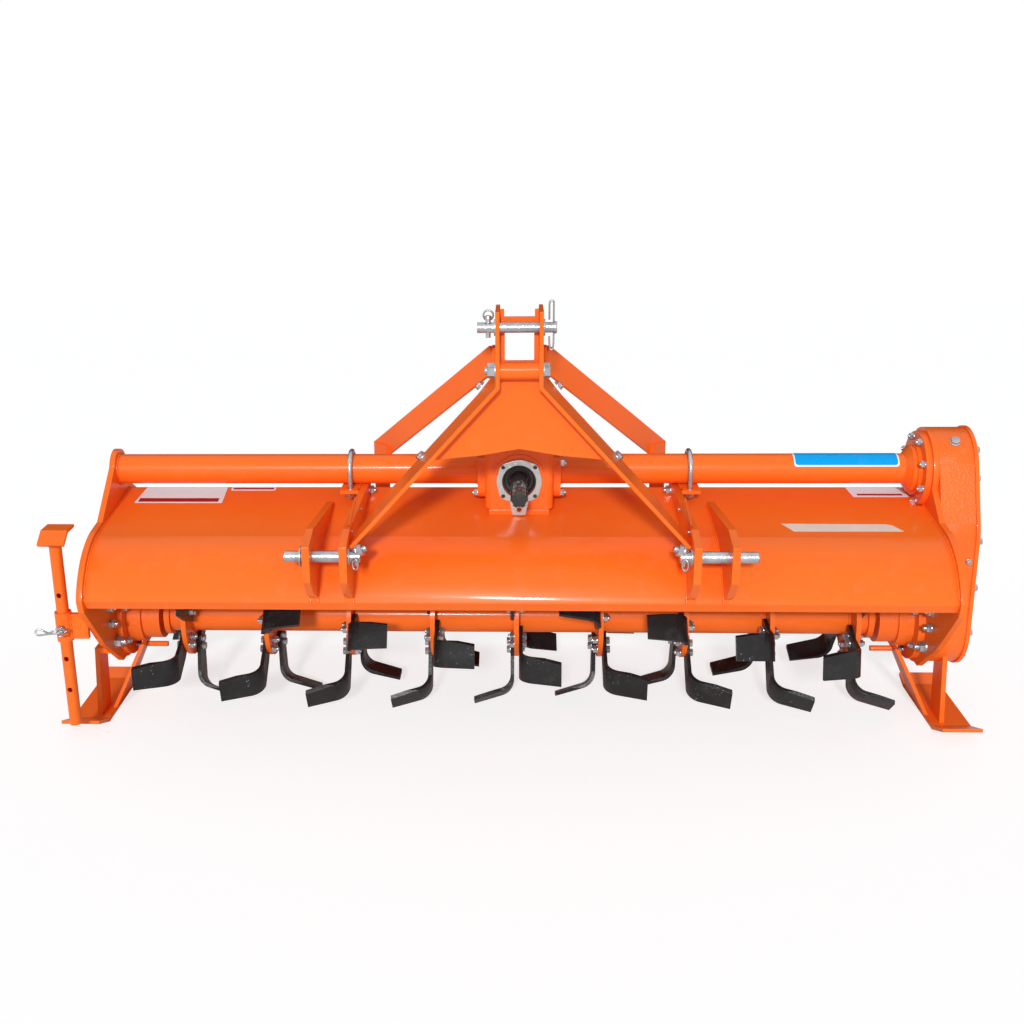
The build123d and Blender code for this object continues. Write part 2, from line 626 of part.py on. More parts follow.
def ubolt(side):
    """U-bolt over the cross tube, its two legs through the saddle with a nut on each."""
    x = saddle_x + saddle_width / 2
    bar = RegularPolygon(ubolt_radius, 8)
    leg_drop = tube_z - saddle_top + 20
    arch_axis = Axis((x, rotor_y + tube_y, rotor_height + tube_z), (-1, 0, 0))
    bolt = revolve(floor_plane(tube_z) * Pos(x, tube_y - ubolt_leg) * bar, axis=arch_axis, revolution_arc=180)
    for leg in (-ubolt_leg, ubolt_leg):
        bolt += extrude(floor_plane(tube_z - leg_drop) * Pos(x, tube_y + leg) * bar, amount=leg_drop)
        nut = floor_plane(saddle_top - 8.2 - ubolt_nut) * Pos(x, tube_y + leg) * RegularPolygon(11, 6)
        bolt += extrude(nut, amount=ubolt_nut)
    return bolt if side > 0 else mirror(bolt, about=Plane.YZ)


for label, side in (("left", -1), ("right", 1)):
    keep_on_hitch(f"tube_saddle_{label}", saddle(side))
    keep_on_hitch(f"ubolt_{label}", ubolt(side))


# ---------------------------------------------------------------- parking stand
def parking_stand():
    """Round tube with a row of holes, and a bent foot plate welded on top while it is stowed."""
    tube = upright(stand_x, stand_y, stand_radius, stand_bottom_z, stand_top_z)
    tube -= upright(stand_x, stand_y, stand_bore, stand_bottom_z - 1, stand_top_z - 20)
    for step in (-2, -1, 0, 1):
        z = sleeve_z + step * stand_hole_pitch
        tube -= rod_y_axis(stand_x, z, stand_hole_radius, stand_y - 20, stand_y + 20)
    top, t = stand_top_z, foot_thickness
    rear, fold, toe = stand_y + 25, stand_y - 15, stand_y - 43
    bent = [(rear, top), (rear, top + t), (fold, top + t), (toe, top + t - 20), (toe + 3, top - 20), (fold + 3, top)]
    return tube + side_plate(bent, stand_x - foot_overhang, foot_width)


foot_thickness, foot_width, foot_overhang = 6.0, 54.0, 20.0


def stand_sleeve():
    """Bush for the stand, on a web welded to the left end plate, drilled for the lock pin."""
    outer = stand_radius + run_gap + sleeve_wall
    z0, z1 = sleeve_z - sleeve_length / 2, sleeve_z + sleeve_length / 2
    bush = upright(stand_x, stand_y, outer, z0, z1)
    bush += side_plate([(stand_y - 6, z0 + 4), (stand_y + 6, z0 + 4), (stand_y + 6, z1 - 4), (stand_y - 6, z1 - 4)],
                       stand_x + stand_radius, stand_offset - weld_gap - stand_radius)
    bush -= upright(stand_x, stand_y, stand_radius + run_gap, z0 - 1, z1 + 1)
    return bush - rod_y_axis(stand_x, sleeve_z, stand_pin_radius + 0.2, stand_y - outer - 1, stand_y)


def stand_pin():
    """Lock pin from in front; its shank ends inside the sleeve's wall, clear of the sliding tube."""
    wall_y = stand_y - stand_radius - run_gap
    pin = rod_y_axis(stand_x, sleeve_z, stand_pin_radius, wall_y - 22, wall_y - 0.5)
    return pin + rod_y_axis(stand_x, sleeve_z, 8, wall_y - 12, wall_y - sleeve_wall - 0.4)


keep("parking_stand", parking_stand())
keep("stand_sleeve", stand_sleeve())
keep("stand_pin", stand_pin())


# ---------------------------------------------------------------- skids
def skid(side):
    """Shoe with its front turned up, a post to the end plate or case, and a guard strap to the hub."""
    t = skid_thickness
    shoe_line = [(skid_front, sole_z + 26), (-112, sole_z), (96, sole_z), (skid_rear, sole_z + 12)]
    shoe = side_plate([*shoe_line, (skid_rear, sole_z + 12 + t), (94, sole_z + t), (-110, sole_z + t),
                       (skid_front, sole_z + 26 + t)], skid_inner - 12, skid_width + 12)
    hub_radius = hub_steps[1][0]
    guard_top = (hood_half_width - 40, -hub_radius - 0.3)
    guard_foot = (skid_inner - 11, sole_z + 4)
    guard_face = make_face(Polyline(guard_foot, (guard_foot[0] + t, guard_foot[1]),
                                    (guard_top[0] + t * 1.1, guard_top[1]), guard_top, close=True))
    guard = extrude(front_plane(64) * guard_face, amount=128)
    guard &= side_plate([(-63, sole_z - 1), (63, sole_z - 1), (34, guard_top[1] + 2), (-34, guard_top[1] + 2)],
                        guard_top[0] - 20, skid_outer - guard_top[0])
    rod = rod_x_axis(0, guard_top[1] - 12, 6, guard_top[0] - 44, guard_top[0] + 6)
    post_x, post_top = skid_inner + 8, -60
    post = side_plate([(-96, sole_z + t - 1), (-34, sole_z + t - 1), (-20, post_top), (-74, post_top)], post_x,
                      skid_post_thickness)
    if side > 0:
        post -= extrude(side_plane(case_inner) * case_outline(weld_gap), amount=case_depth)
        return shoe + guard + rod + post
    foot_start = end_plate_outer + weld_gap
    post += side_plate([(-74, post_top - 6), (-20, post_top - 6), (-20, post_top + 6), (-74, post_top + 6)],
                       foot_start, post_x + skid_post_thickness - foot_start)
    return mirror(shoe + guard + rod + post, about=Plane.YZ)


keep("skid_left", skid(-1))
keep("skid_right", skid(1))

# ---------------------------------------------------------------- trailing board and its hanging rods
hinge_rod_radius = 7.0
knuckle_radius = 12.0
hinge_lug_width = 26.0
board_half_width = hood_half_width - 14
hinge_lugs = (-0.92 * board_half_width, 0.0, 0.92 * board_half_width)


def hinge_rod():
    """Rod along the hood's rear edge with the lugs that carry it."""
    rod = rod_x_axis(hinge_y, hinge_z, hinge_rod_radius, -board_half_width, board_half_width)
    for x in hinge_lugs:
        web = [(rear_y - 26, rear_skin_z(rear_y - 26) + weld_gap), (rear_y, rear_z + weld_gap),
               (hinge_y, hinge_z - 8), (hinge_y + 4, hinge_z + knuckle_radius - 2),
               (rear_y - 20, rear_skin_z(rear_y - 26) + 8)]
        rod += side_plate(web, x - hinge_lug_width / 2, hinge_lug_width)
        rod += rod_x_axis(hinge_y, hinge_z, knuckle_radius, x - hinge_lug_width / 2, x + hinge_lug_width / 2)
    return rod


def trailing_board():
    """Curved board curled round the hinge rod, with lugs for the two hanging rods."""
    t = sheet
    top = (hinge_y + 9, hinge_z - 4)
    mid = (hinge_y + 62, 20)
    low = (board_bottom_y, board_bottom_z + 12)
    outer = Line(top, (top[0] + 2, top[1] - 8)) + ThreePointArc((top[0] + 2, top[1] - 8), mid, low)
    sketch = make_face(outer + Polyline(low, (low[0] + 14, board_bottom_z), (low[0] + 10, board_bottom_z - 3),
                                        (low[0] - t, low[1] + 1))
                       + ThreePointArc((low[0] - t, low[1] + 1), (mid[0] - t, mid[1] - 1), (top[0] - 3, top[1] - 9))
                       + Line((top[0] - 3, top[1] - 9), top))
    board = extrude(side_plane(-board_half_width) * sketch, amount=2 * board_half_width)
    board += rod_x_axis(hinge_y, hinge_z, knuckle_radius - 1, -board_half_width, board_half_width)
    board -= rod_x_axis(hinge_y, hinge_z, hinge_rod_radius + run_gap, -board_half_width - 1, board_half_width + 1)
    for x in hinge_lugs:
        board -= side_plate([(hinge_y - 30, hinge_z - 20), (hinge_y + 30, hinge_z - 20),
                             (hinge_y + 30, hinge_z + 20), (hinge_y - 30, hinge_z + 20)],
                            x - hinge_lug_width / 2 - 5, hinge_lug_width + 10)
    for x in (hitch_x - rod_x, hitch_x + rod_x):
        for inner in (-19, 11):
            lug = [(mid[0] - 4, eye_z + 34), (eye_y, eye_z + 14), (eye_y + 13, eye_z), (eye_y, eye_z - 14),
                   (mid[0] + 4, eye_z - 26)]
            board += side_plate(lug, x + inner, 8)
        board += rod_x_axis(eye_y, eye_z, 6, x - 22, x + 22)
    return board


eye_y, eye_z = hinge_y + 122, -10.0           # pivot of the hanging rods on the board
guide_y, guide_z = 262.0, 250.0               # where the rods pass through their brackets
rod_eye_radius = 15.0
rod_tail = 38.0                               # above the bracket
bracket_half_width = 20.0


def hanging_rod(x):
    """Rod from its eye on the board up through the bracket, with a stop collar above it."""
    span = hypot(guide_y - eye_y, guide_z - eye_z)
    lean = atan2(eye_y - guide_y, guide_z - eye_z)
    plane = Plane(origin=(x, rotor_y + eye_y, rotor_height + eye_z), x_dir=(1, 0, 0),
                  z_dir=(0, -sin(lean), cos(lean)))
    rod = extrude(plane.offset(rod_eye_radius / 2) * Circle(rod_radius), amount=span + rod_tail - rod_eye_radius / 2)
    rod += extrude(plane.offset(span + rod_tail - 18) * Circle(2 * rod_radius), amount=12)
    rod += rod_x_axis(eye_y, eye_z, rod_eye_radius, x - 9, x + 9)
    return rod - rod_x_axis(eye_y, eye_z, 6 + run_gap, x - 10, x + 10)


def rod_bracket(x):
    """Bent plate on the rear beam, slotted for the hanging rod."""
    front, back, t = beam_front + 4, guide_y + 40, 8.0
    foot_z = rear_skin_z(front) + 6.3
    leg_outline = [(front, foot_z), (front + t, foot_z), (front + t, guide_z - 4), (front, guide_z - 4)]
    leg = side_plate(leg_outline, x - bracket_half_width, 2 * bracket_half_width)
    shelf = side_plate([(front, guide_z - 4), (back, guide_z - 4), (back, guide_z + 4), (front, guide_z + 4)],
                       x - bracket_half_width, 2 * bracket_half_width)
    slot = extrude(floor_plane(guide_z - 6) * Pos(x, guide_y) * SlotOverall(54, 22, rotation=90), amount=12)
    return leg + shelf - slot


keep("board_hinge_rod", hinge_rod())
keep("trailing_board", trailing_board())
for label, side in (("left", -1), ("right", 1)):
    keep(f"hanging_rod_{label}", hanging_rod(hitch_x + side * rod_x))
    keep(f"rod_bracket_{label}", rod_bracket(hitch_x + side * rod_x))

for name, solid in PARTS.items():
    print(name, solid.is_valid, round(solid.volume / 1000), "cm3")
os.makedirs("parts", exist_ok=True)
for name, solid in PARTS.items():
    export_step(solid, f"parts/{name}.step")
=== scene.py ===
# %% [markdown]
# # A rotavator in orange enamel
# The machine stands on its two skids on a pale floor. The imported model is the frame: its nodes keep
# their shape and place, and this script gives them paint, zinc and black steel, and adds the bolts,
# nuts, clips, weld beads and blank stickers that a maker fits last.

# %% Load the frame
import json
from math import cos, pi, radians, sin, tau

import bmesh
import bpy
from mathutils import Matrix, Vector

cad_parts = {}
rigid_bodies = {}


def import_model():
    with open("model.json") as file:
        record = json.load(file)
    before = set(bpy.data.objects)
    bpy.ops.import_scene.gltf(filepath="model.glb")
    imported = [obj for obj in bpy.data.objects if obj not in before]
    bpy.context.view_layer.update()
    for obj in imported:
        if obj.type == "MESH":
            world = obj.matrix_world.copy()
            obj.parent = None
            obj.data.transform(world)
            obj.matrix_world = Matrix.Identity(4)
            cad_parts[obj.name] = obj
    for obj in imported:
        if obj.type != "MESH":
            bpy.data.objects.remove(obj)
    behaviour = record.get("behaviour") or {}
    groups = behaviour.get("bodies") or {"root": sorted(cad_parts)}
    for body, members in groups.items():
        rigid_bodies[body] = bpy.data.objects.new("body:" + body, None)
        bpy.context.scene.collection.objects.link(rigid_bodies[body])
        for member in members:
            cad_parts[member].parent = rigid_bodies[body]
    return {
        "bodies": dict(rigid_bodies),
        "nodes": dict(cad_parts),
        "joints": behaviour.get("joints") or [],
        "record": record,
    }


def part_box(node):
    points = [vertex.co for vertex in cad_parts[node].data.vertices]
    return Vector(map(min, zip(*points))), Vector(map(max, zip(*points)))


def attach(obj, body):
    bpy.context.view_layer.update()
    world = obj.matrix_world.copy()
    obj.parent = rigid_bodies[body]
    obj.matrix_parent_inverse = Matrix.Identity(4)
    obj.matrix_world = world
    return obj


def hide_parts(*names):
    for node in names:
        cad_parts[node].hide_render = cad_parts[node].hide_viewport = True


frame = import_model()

scene = bpy.context.scene
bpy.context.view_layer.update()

# %% [markdown]
# ## Camera
# The camera stands a little over two metres in front of the hitch, at chest height, so that the hood's
# top shows. It could be aimed with a constraint, but three plain turns give the same result each run.
# The lens shift slides the picture sideways without turning the machine, as a view camera does.

# %% Camera
mm = 0.001
LENS, SHIFT = 43.67, 0.0535      # on a 36 mm sensor
DOWN = radians(17.69)            # tilt of the lens below level
YAW, ROLL = 0.05077, -0.01426    # small turns of the hand, in radians
EYE = (0.0064, -2.561, 1.258)
camera = bpy.data.cameras.new("camera")
camera.lens = LENS
camera.shift_x = SHIFT
camera_object = bpy.data.objects.new("camera", camera)
camera_object.location = EYE
turn = Matrix.Rotation(YAW, 3, "Z") @ Matrix.Rotation(pi / 2 - DOWN, 3, "X") @ Matrix.Rotation(ROLL, 3, "Z")
camera_object.rotation_euler = turn.to_euler()
scene.collection.objects.link(camera_object)
scene.camera = camera_object
print("camera at", tuple(camera_object.location))

# %% [markdown]
# ## Studio
# The floor and the sky are plain and pale. What the camera, or a mirror-like surface, sees of the
# sky is white; what lights the object is a softer grey, with one wide sun in front. A single bright
# sky would do for both, but then the paint would wash out, so Light Path tells the two apart.

# %% Sky
scene.view_settings.view_transform = "Standard"
SKY_WHITE, SKY_LIGHT = 1.0, 0.46


def add_node(tree, kind, label="", **values):
    """A node of that kind with its settings and input defaults filled in."""
    node = tree.nodes.new(kind)
    node.label = label
    for key, value in values.items():
        if key in node.inputs:
            node.inputs[key].default_value = value
        else:
            setattr(node, key, value)
    return node


def studio_sky():
    """A world that is white where it is seen or mirrored, and a softer grey where it lights."""
    world = bpy.data.worlds.new("studio")
    world.use_nodes = True
    tree = world.node_tree
    tree.nodes.clear()
    output = add_node(tree, "ShaderNodeOutputWorld")
    path = add_node(tree, "ShaderNodeLightPath")
    seen = add_node(tree, "ShaderNodeMath", operation="MAXIMUM")
    seen_too = add_node(tree, "ShaderNodeMath", operation="MAXIMUM")
    white = add_node(tree, "ShaderNodeBackground", Color=(1, 1, 1, 1), Strength=SKY_WHITE)
    light = add_node(tree, "ShaderNodeBackground", Color=(0.97, 0.985, 1, 1), Strength=SKY_LIGHT)
    mix = add_node(tree, "ShaderNodeMixShader")
    links = tree.links
    links.new(path.outputs["Is Camera Ray"], seen.inputs[0])
    links.new(path.outputs["Is Glossy Ray"], seen.inputs[1])
    links.new(seen.outputs[0], seen_too.inputs[0])
    links.new(path.outputs["Is Transmission Ray"], seen_too.inputs[1])
    links.new(seen_too.outputs[0], mix.inputs[0])
    links.new(light.outputs[0], mix.inputs[1])
    links.new(white.outputs[0], mix.inputs[2])
    links.new(mix.outputs[0], output.inputs[0])
    return world


scene.world = studio_sky()
print("sky:", scene.world.name)

# %% Key lamp
def sun(name, elevation, azimuth, strength, softness):
    """A far lamp: elevation above the horizon, azimuth 0 from the front (-Y), 90 from +X."""
    data = bpy.data.lights.new(name, "SUN")
    data.energy = strength
    data.angle = softness
    holder = bpy.data.objects.new(name, data)
    toward = Vector((sin(azimuth) * cos(elevation), -cos(azimuth) * cos(elevation), sin(elevation)))
    holder.rotation_euler = toward.to_track_quat("Z", "Y").to_euler()
    scene.collection.objects.link(holder)
    return holder


key_lamp = sun("key_lamp", radians(24), radians(-4), 2.25, radians(6))
print("lamp:", key_lamp.name)

# %% [markdown]
# ## Floor
# The machine needs something to stand on and to throw a shadow on. A plain floor under this light
# would look grey, so part of what the camera sees of it is plain white, and the rest is lit and keeps
# the shadow. Nothing is added to the light for it.

# %% Floor
FLOOR_HALF, FLOOR_GLOW, PLAIN_SHARE = 30.0, 1.2, 0.6


def new_material(name):
    """A material with an empty node tree."""
    material = bpy.data.materials.new(name)
    material.use_nodes = True
    material.node_tree.nodes.clear()
    return material


def mesh_object(name, shape, materials=()):
    """Turns a bmesh into a linked object at the origin."""
    mesh = bpy.data.meshes.new(name)
    shape.to_mesh(mesh)
    shape.free()
    piece = bpy.data.objects.new(name, mesh)
    for material in materials:
        mesh.materials.append(material)
    scene.collection.objects.link(piece)
    return piece


def floor_material():
    """Pale floor: what the camera sees is part plain white, part lit, so that it keeps a soft shadow."""
    material = new_material("pale_floor")
    tree = material.node_tree
    output = add_node(tree, "ShaderNodeOutputMaterial")
    surface = add_node(tree, "ShaderNodeBsdfPrincipled", Roughness=0.9)
    surface.inputs["Base Color"].default_value = (0.93, 0.93, 0.93, 1)
    plain = add_node(tree, "ShaderNodeEmission", Color=(1, 1, 1, 1), Strength=FLOOR_GLOW)
    path = add_node(tree, "ShaderNodeLightPath")
    share = add_node(tree, "ShaderNodeMath", operation="MULTIPLY")
    share.inputs[1].default_value = PLAIN_SHARE
    mix = add_node(tree, "ShaderNodeMixShader")
    tree.links.new(path.outputs["Is Camera Ray"], share.inputs[0])
    tree.links.new(share.outputs[0], mix.inputs[0])
    tree.links.new(surface.outputs[0], mix.inputs[1])
    tree.links.new(plain.outputs[0], mix.inputs[2])
    tree.links.new(mix.outputs[0], output.inputs[0])
    return material


floor_shape = bmesh.new()
bmesh.ops.create_grid(floor_shape, x_segments=1, y_segments=1, size=FLOOR_HALF)
floor = mesh_object("floor", floor_shape, [floor_material()])
print("floor:", len(floor.data.polygons), "face")

# %% [markdown]
# ## Card for the reflections
# Enamel mirrors what lies behind it where it is seen at a glancing angle, and a white studio would
# bleach the steep faces of the hitch. A studio hangs a dark card behind the object for this. It could
# be done with a darker sky, but that would dim the light as well, so the card is hidden from the camera
# and from the light, and only reflections meet it.

# %% Dark card behind the machine
CARD_WIDTH, CARD_LOW, CARD_HIGH, CARD_BACK = 18.0, 0.01, 5.0, 4.5


def card_material():
    """Nearly black, with a faint warm glow that shows only as a painted reflection."""
    material = new_material("dark_card")
    tree = material.node_tree
    glow = add_node(tree, "ShaderNodeEmission", Color=(1, 0.6, 0.4, 1), Strength=0.04)
    tree.links.new(glow.outputs[0], add_node(tree, "ShaderNodeOutputMaterial").inputs[0])
    return material


card_shape = bmesh.new()
upright = Matrix.Translation((0, CARD_BACK, (CARD_LOW + CARD_HIGH) / 2)) @ Matrix.Rotation(pi / 2, 4, "X")
bmesh.ops.create_grid(card_shape, x_segments=1, y_segments=1, size=0.5,
                      matrix=upright @ Matrix.Diagonal((CARD_WIDTH, CARD_HIGH - CARD_LOW, 1, 1)))
card = mesh_object("dark_card", card_shape, [card_material()])
card.visible_camera = card.visible_diffuse = card.visible_shadow = False
print("card:", round(card.dimensions.x, 2), "x", round(card.dimensions.z, 2), "m")

# %% [markdown]
# ## Shared surface effects
# Every painted or plated part carries the same small marks of its making: orange peel in the paint,
# slow changes of tone where the spray overlapped, a little dust, and chips down to the steel. Each
# is a node group with its own sizes, so that a cast skin, a sheet and a pin share one recipe.

# %% Helpers for node groups
def new_group(name, sizes, masks):
    """An empty shader group with named inputs and outputs, and its two end nodes."""
    group = bpy.data.node_groups.new(name, "ShaderNodeTree")
    for label, value in sizes:
        socket = group.interface.new_socket(label, in_out="INPUT", socket_type="NodeSocketFloat")
        socket.default_value = value
    for label in masks:
        group.interface.new_socket(label, in_out="OUTPUT", socket_type="NodeSocketFloat")
    return group, group.nodes.new("NodeGroupInput"), group.nodes.new("NodeGroupOutput")


def noise_mask(tree, place, size_socket, detail, low, high):
    """Noise of that size, opened up so that it runs from 0 at low to 1 at high."""
    noise = add_node(tree, "ShaderNodeTexNoise", Detail=detail, Roughness=0.6)
    ramp = add_node(tree, "ShaderNodeMapRange")
    ramp.inputs["From Min"].default_value = low
    ramp.inputs["From Max"].default_value = high
    tree.links.new(place, noise.inputs["Vector"])
    tree.links.new(size_socket, noise.inputs["Scale"])
    tree.links.new(noise.outputs["Fac"], ramp.inputs["Value"])
    return ramp.outputs["Result"]


# %% Film and wear
def film_group():
    """Paint film: fine peel, slow tone and dust, all on the part's own coordinates in metres."""
    sizes = (("Peel Scale", 420.0), ("Tone Scale", 4.0), ("Dust Scale", 30.0))
    group, inlet, outlet = new_group("film", sizes, ("Peel", "Tone", "Dust"))
    place = add_node(group, "ShaderNodeTexCoord").outputs["Object"]
    marks = ((2.0, 0.3, 0.7), (3.0, 0.36, 0.64), (8.0, 0.54, 0.8))
    for index, (detail, low, high) in enumerate(marks):
        value = noise_mask(group, place, inlet.outputs[index], detail, low, high)
        group.links.new(value, outlet.inputs[index])
    return group


def wear_group():
    """Chips and rubs: small spots, kept to a few broad areas."""
    sizes = (("Spot Scale", 190.0), ("Area Scale", 9.0))
    group, inlet, outlet = new_group("wear", sizes, ("Chips",))
    place = add_node(group, "ShaderNodeTexCoord").outputs["Object"]
    spots = noise_mask(group, place, inlet.outputs[0], 2.0, 0.66, 0.7)
    areas = noise_mask(group, place, inlet.outputs[1], 2.0, 0.58, 0.66)
    both = add_node(group, "ShaderNodeMath", operation="MULTIPLY")
    group.links.new(spots, both.inputs[0])
    group.links.new(areas, both.inputs[1])
    group.links.new(both.outputs[0], outlet.inputs[0])
    return group


FILM, WEAR = film_group(), wear_group()
print("groups:", FILM.name, WEAR.name)

# %% [markdown]
# ## One recipe for a surface
# Enamel, dip, zinc, rubber and vinyl differ in colour, gloss and grain, but their marks come about in
# the same way. So one function builds every material: a colour with slow tone, dust over it, chips
# through both, and the peel as fine relief. Each finish below only gives it numbers.

# %% Colours over one another
def mixed(tree, mask, amount, first, second):
    """first where the mask is 0, up to that amount of second where it is 1."""
    scale = add_node(tree, "ShaderNodeMath", operation="MULTIPLY")
    scale.inputs[1].default_value = amount
    tree.links.new(mask, scale.inputs[0])
    blend = add_node(tree, "ShaderNodeMix", data_type="RGBA")
    tree.links.new(scale.outputs[0], blend.inputs["Factor"])
    for socket, colour in ((blend.inputs[6], first), (blend.inputs[7], second)):
        if isinstance(colour, tuple):
            socket.default_value = (*colour, 1)
        else:
            tree.links.new(colour, socket)
    return blend.outputs[2]


# %% Surface material
def surface_material(name, colour, second, dusty, chipped, rough, bump, sizes=(420.0, 4.0, 30.0),
                     wear=(190.0, 9.0), amounts=(0.5, 0.2, 1.0), metallic=0.0, coat=0.0, specular=0.5):
    """A Principled surface: tone, dust and chips over the colour, peel as bump.

    colour and second are the two tones, dusty and chipped the colours of the marks, rough its least and
    most roughness, bump a strength and a depth, sizes and wear the scales of the marks, and amounts how
    much of tone, dust and chips shows.
    """
    material = new_material(name)
    tree = material.node_tree
    output = add_node(tree, "ShaderNodeOutputMaterial")
    surface = add_node(tree, "ShaderNodeBsdfPrincipled", Metallic=metallic)
    surface.inputs["Coat Weight"].default_value = coat
    surface.inputs["Coat Roughness"].default_value = 0.1
    surface.inputs["Specular IOR Level"].default_value = specular
    film = add_node(tree, "ShaderNodeGroup")
    film.node_tree = FILM
    marks = add_node(tree, "ShaderNodeGroup")
    marks.node_tree = WEAR
    for socket, value in zip(film.inputs, sizes):
        socket.default_value = value
    for socket, value in zip(marks.inputs, wear):
        socket.default_value = value
    toned = mixed(tree, film.outputs["Tone"], amounts[0], colour, second)
    dusted = mixed(tree, film.outputs["Dust"], amounts[1], toned, dusty)
    worn = mixed(tree, marks.outputs["Chips"], amounts[2], dusted, chipped)
    tree.links.new(worn, surface.inputs["Base Color"])
    matt = add_node(tree, "ShaderNodeMapRange")
    matt.inputs["To Min"].default_value = rough[0]
    matt.inputs["To Max"].default_value = rough[1]
    tree.links.new(film.outputs["Dust"], matt.inputs["Value"])
    tree.links.new(matt.outputs["Result"], surface.inputs["Roughness"])
    relief = add_node(tree, "ShaderNodeBump", Strength=bump[0], Distance=bump[1])
    tree.links.new(film.outputs["Peel"], relief.inputs["Height"])
    tree.links.new(relief.outputs["Normal"], surface.inputs["Normal"])
    tree.links.new(surface.outputs[0], output.inputs[0])
    return material


# %% [markdown]
# ## Finishes
# The plates are shot-blasted and sprayed with orange enamel, the cast gearbox and hubs keep a
# rougher skin under the same paint, the tines are dipped black after bending, and the pins, bolts
# and clamps are zinc plated. The colours are plain values on each surface, with the marks above.

# %% Finishes
ORANGE, ORANGE_DEEP = (0.95, 0.165, 0.016), (0.9, 0.13, 0.012)
DUST, PRIMER, STEEL = (0.72, 0.42, 0.3), (0.2, 0.17, 0.16), (0.5, 0.5, 0.5)
finishes = {
    "orange_paint": surface_material(
        "orange_enamel", ORANGE, ORANGE_DEEP, DUST, PRIMER, (0.3, 0.45), (0.05, 0.001),
        amounts=(0.3, 0.07, 0.35), coat=0.16, specular=0.15),
    "orange_casting": surface_material(
        "orange_cast_skin", ORANGE, ORANGE_DEEP, DUST, PRIMER, (0.32, 0.5), (0.35, 0.0016),
        sizes=(210.0, 6.0, 40.0), amounts=(0.5, 0.12, 0.4), coat=0.2, specular=0.2),
    "tine_black": surface_material(
        "black_dip", (0.008, 0.008, 0.009), (0.02, 0.02, 0.021), (0.09, 0.08, 0.07), STEEL,
        (0.36, 0.6), (0.25, 0.0012), sizes=(130.0, 11.0, 34.0), wear=(240.0, 16.0),
        amounts=(0.7, 0.3, 0.7), specular=0.35),
    "shaft_black": surface_material(
        "oiled_black", (0.018, 0.016, 0.015), (0.035, 0.03, 0.026), (0.12, 0.1, 0.08), STEEL,
        (0.2, 0.42), (0.1, 0.0008), sizes=(320.0, 20.0, 60.0), amounts=(0.6, 0.3, 0.5), specular=0.6),
    "zinc_plate": surface_material(
        "zinc", (0.56, 0.57, 0.59), (0.36, 0.38, 0.41), (0.3, 0.29, 0.28), (0.2, 0.18, 0.16),
        (0.24, 0.45), (0.3, 0.0006), sizes=(420.0, 34.0, 90.0), amounts=(0.9, 0.7, 0.6), metallic=0.82),
    "machined_steel": surface_material(
        "bare_steel", (0.66, 0.65, 0.63), (0.55, 0.55, 0.55), (0.4, 0.37, 0.34), (0.2, 0.17, 0.15),
        (0.28, 0.5), (0.25, 0.0006), sizes=(900.0, 40.0, 90.0), amounts=(0.6, 0.6, 0.6), metallic=1.0),
}
print("finishes:", len(finishes))

# %% Every node of the frame gets the finish of its slot
for entry in frame["record"]["subparts"]:
    node = frame["nodes"][entry["node"]]
    node.data.materials.clear()
    node.data.materials.append(finishes[entry["material_slot"]])

# %% [markdown]
# ## Trim
# The seal is black rubber, the stickers are glossy vinyl film and the tape is matt crepe paper. They
# are never painted, so they have no coat and no chips, and only their grain and gloss set them apart
# from the enamel beneath.

# %% Rubber, vinyl and tape
trim = {
    "seal_rubber": surface_material(
        "seal_rubber", (0.012, 0.012, 0.012), (0.02, 0.02, 0.02), (0.1, 0.09, 0.08), DUST,
        (0.45, 0.7), (0.15, 0.0006), amounts=(0.5, 0.4, 0.0)),
    "white_vinyl": surface_material(
        "white_vinyl", (0.86, 0.93, 1.0), (0.82, 0.89, 0.96), (0.6, 0.56, 0.5), DUST,
        (0.28, 0.4), (0.04, 0.0004), amounts=(0.5, 0.2, 0.0), specular=0.4),
    "red_vinyl": surface_material(
        "red_vinyl", (0.42, 0.018, 0.012), (0.36, 0.015, 0.01), (0.5, 0.2, 0.15), DUST,
        (0.28, 0.4), (0.04, 0.0004), amounts=(0.5, 0.2, 0.0), specular=0.4),
    "blue_vinyl": surface_material(
        "blue_vinyl", (0.0, 0.36, 0.84), (0.0, 0.33, 0.8), (0.4, 0.5, 0.6), DUST,
        (0.26, 0.4), (0.04, 0.0004), amounts=(0.3, 0.05, 0.0), specular=0.15),
    "paper_tape": surface_material(
        "paper_tape", (0.82, 0.7, 0.62), (0.76, 0.62, 0.54), (0.6, 0.5, 0.42), DUST,
        (0.75, 0.9), (0.5, 0.0008), sizes=(520.0, 30.0, 80.0), amounts=(0.6, 0.3, 0.0)),
}
print("trim:", len(trim))

# %% [markdown]
# ## Places
# A side view of the machine is easiest to read from the rotor's axis, so the fittings are placed
# in millimetres about that axis, and about the hitch's own middle where they belong to it. Both
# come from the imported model's boxes.

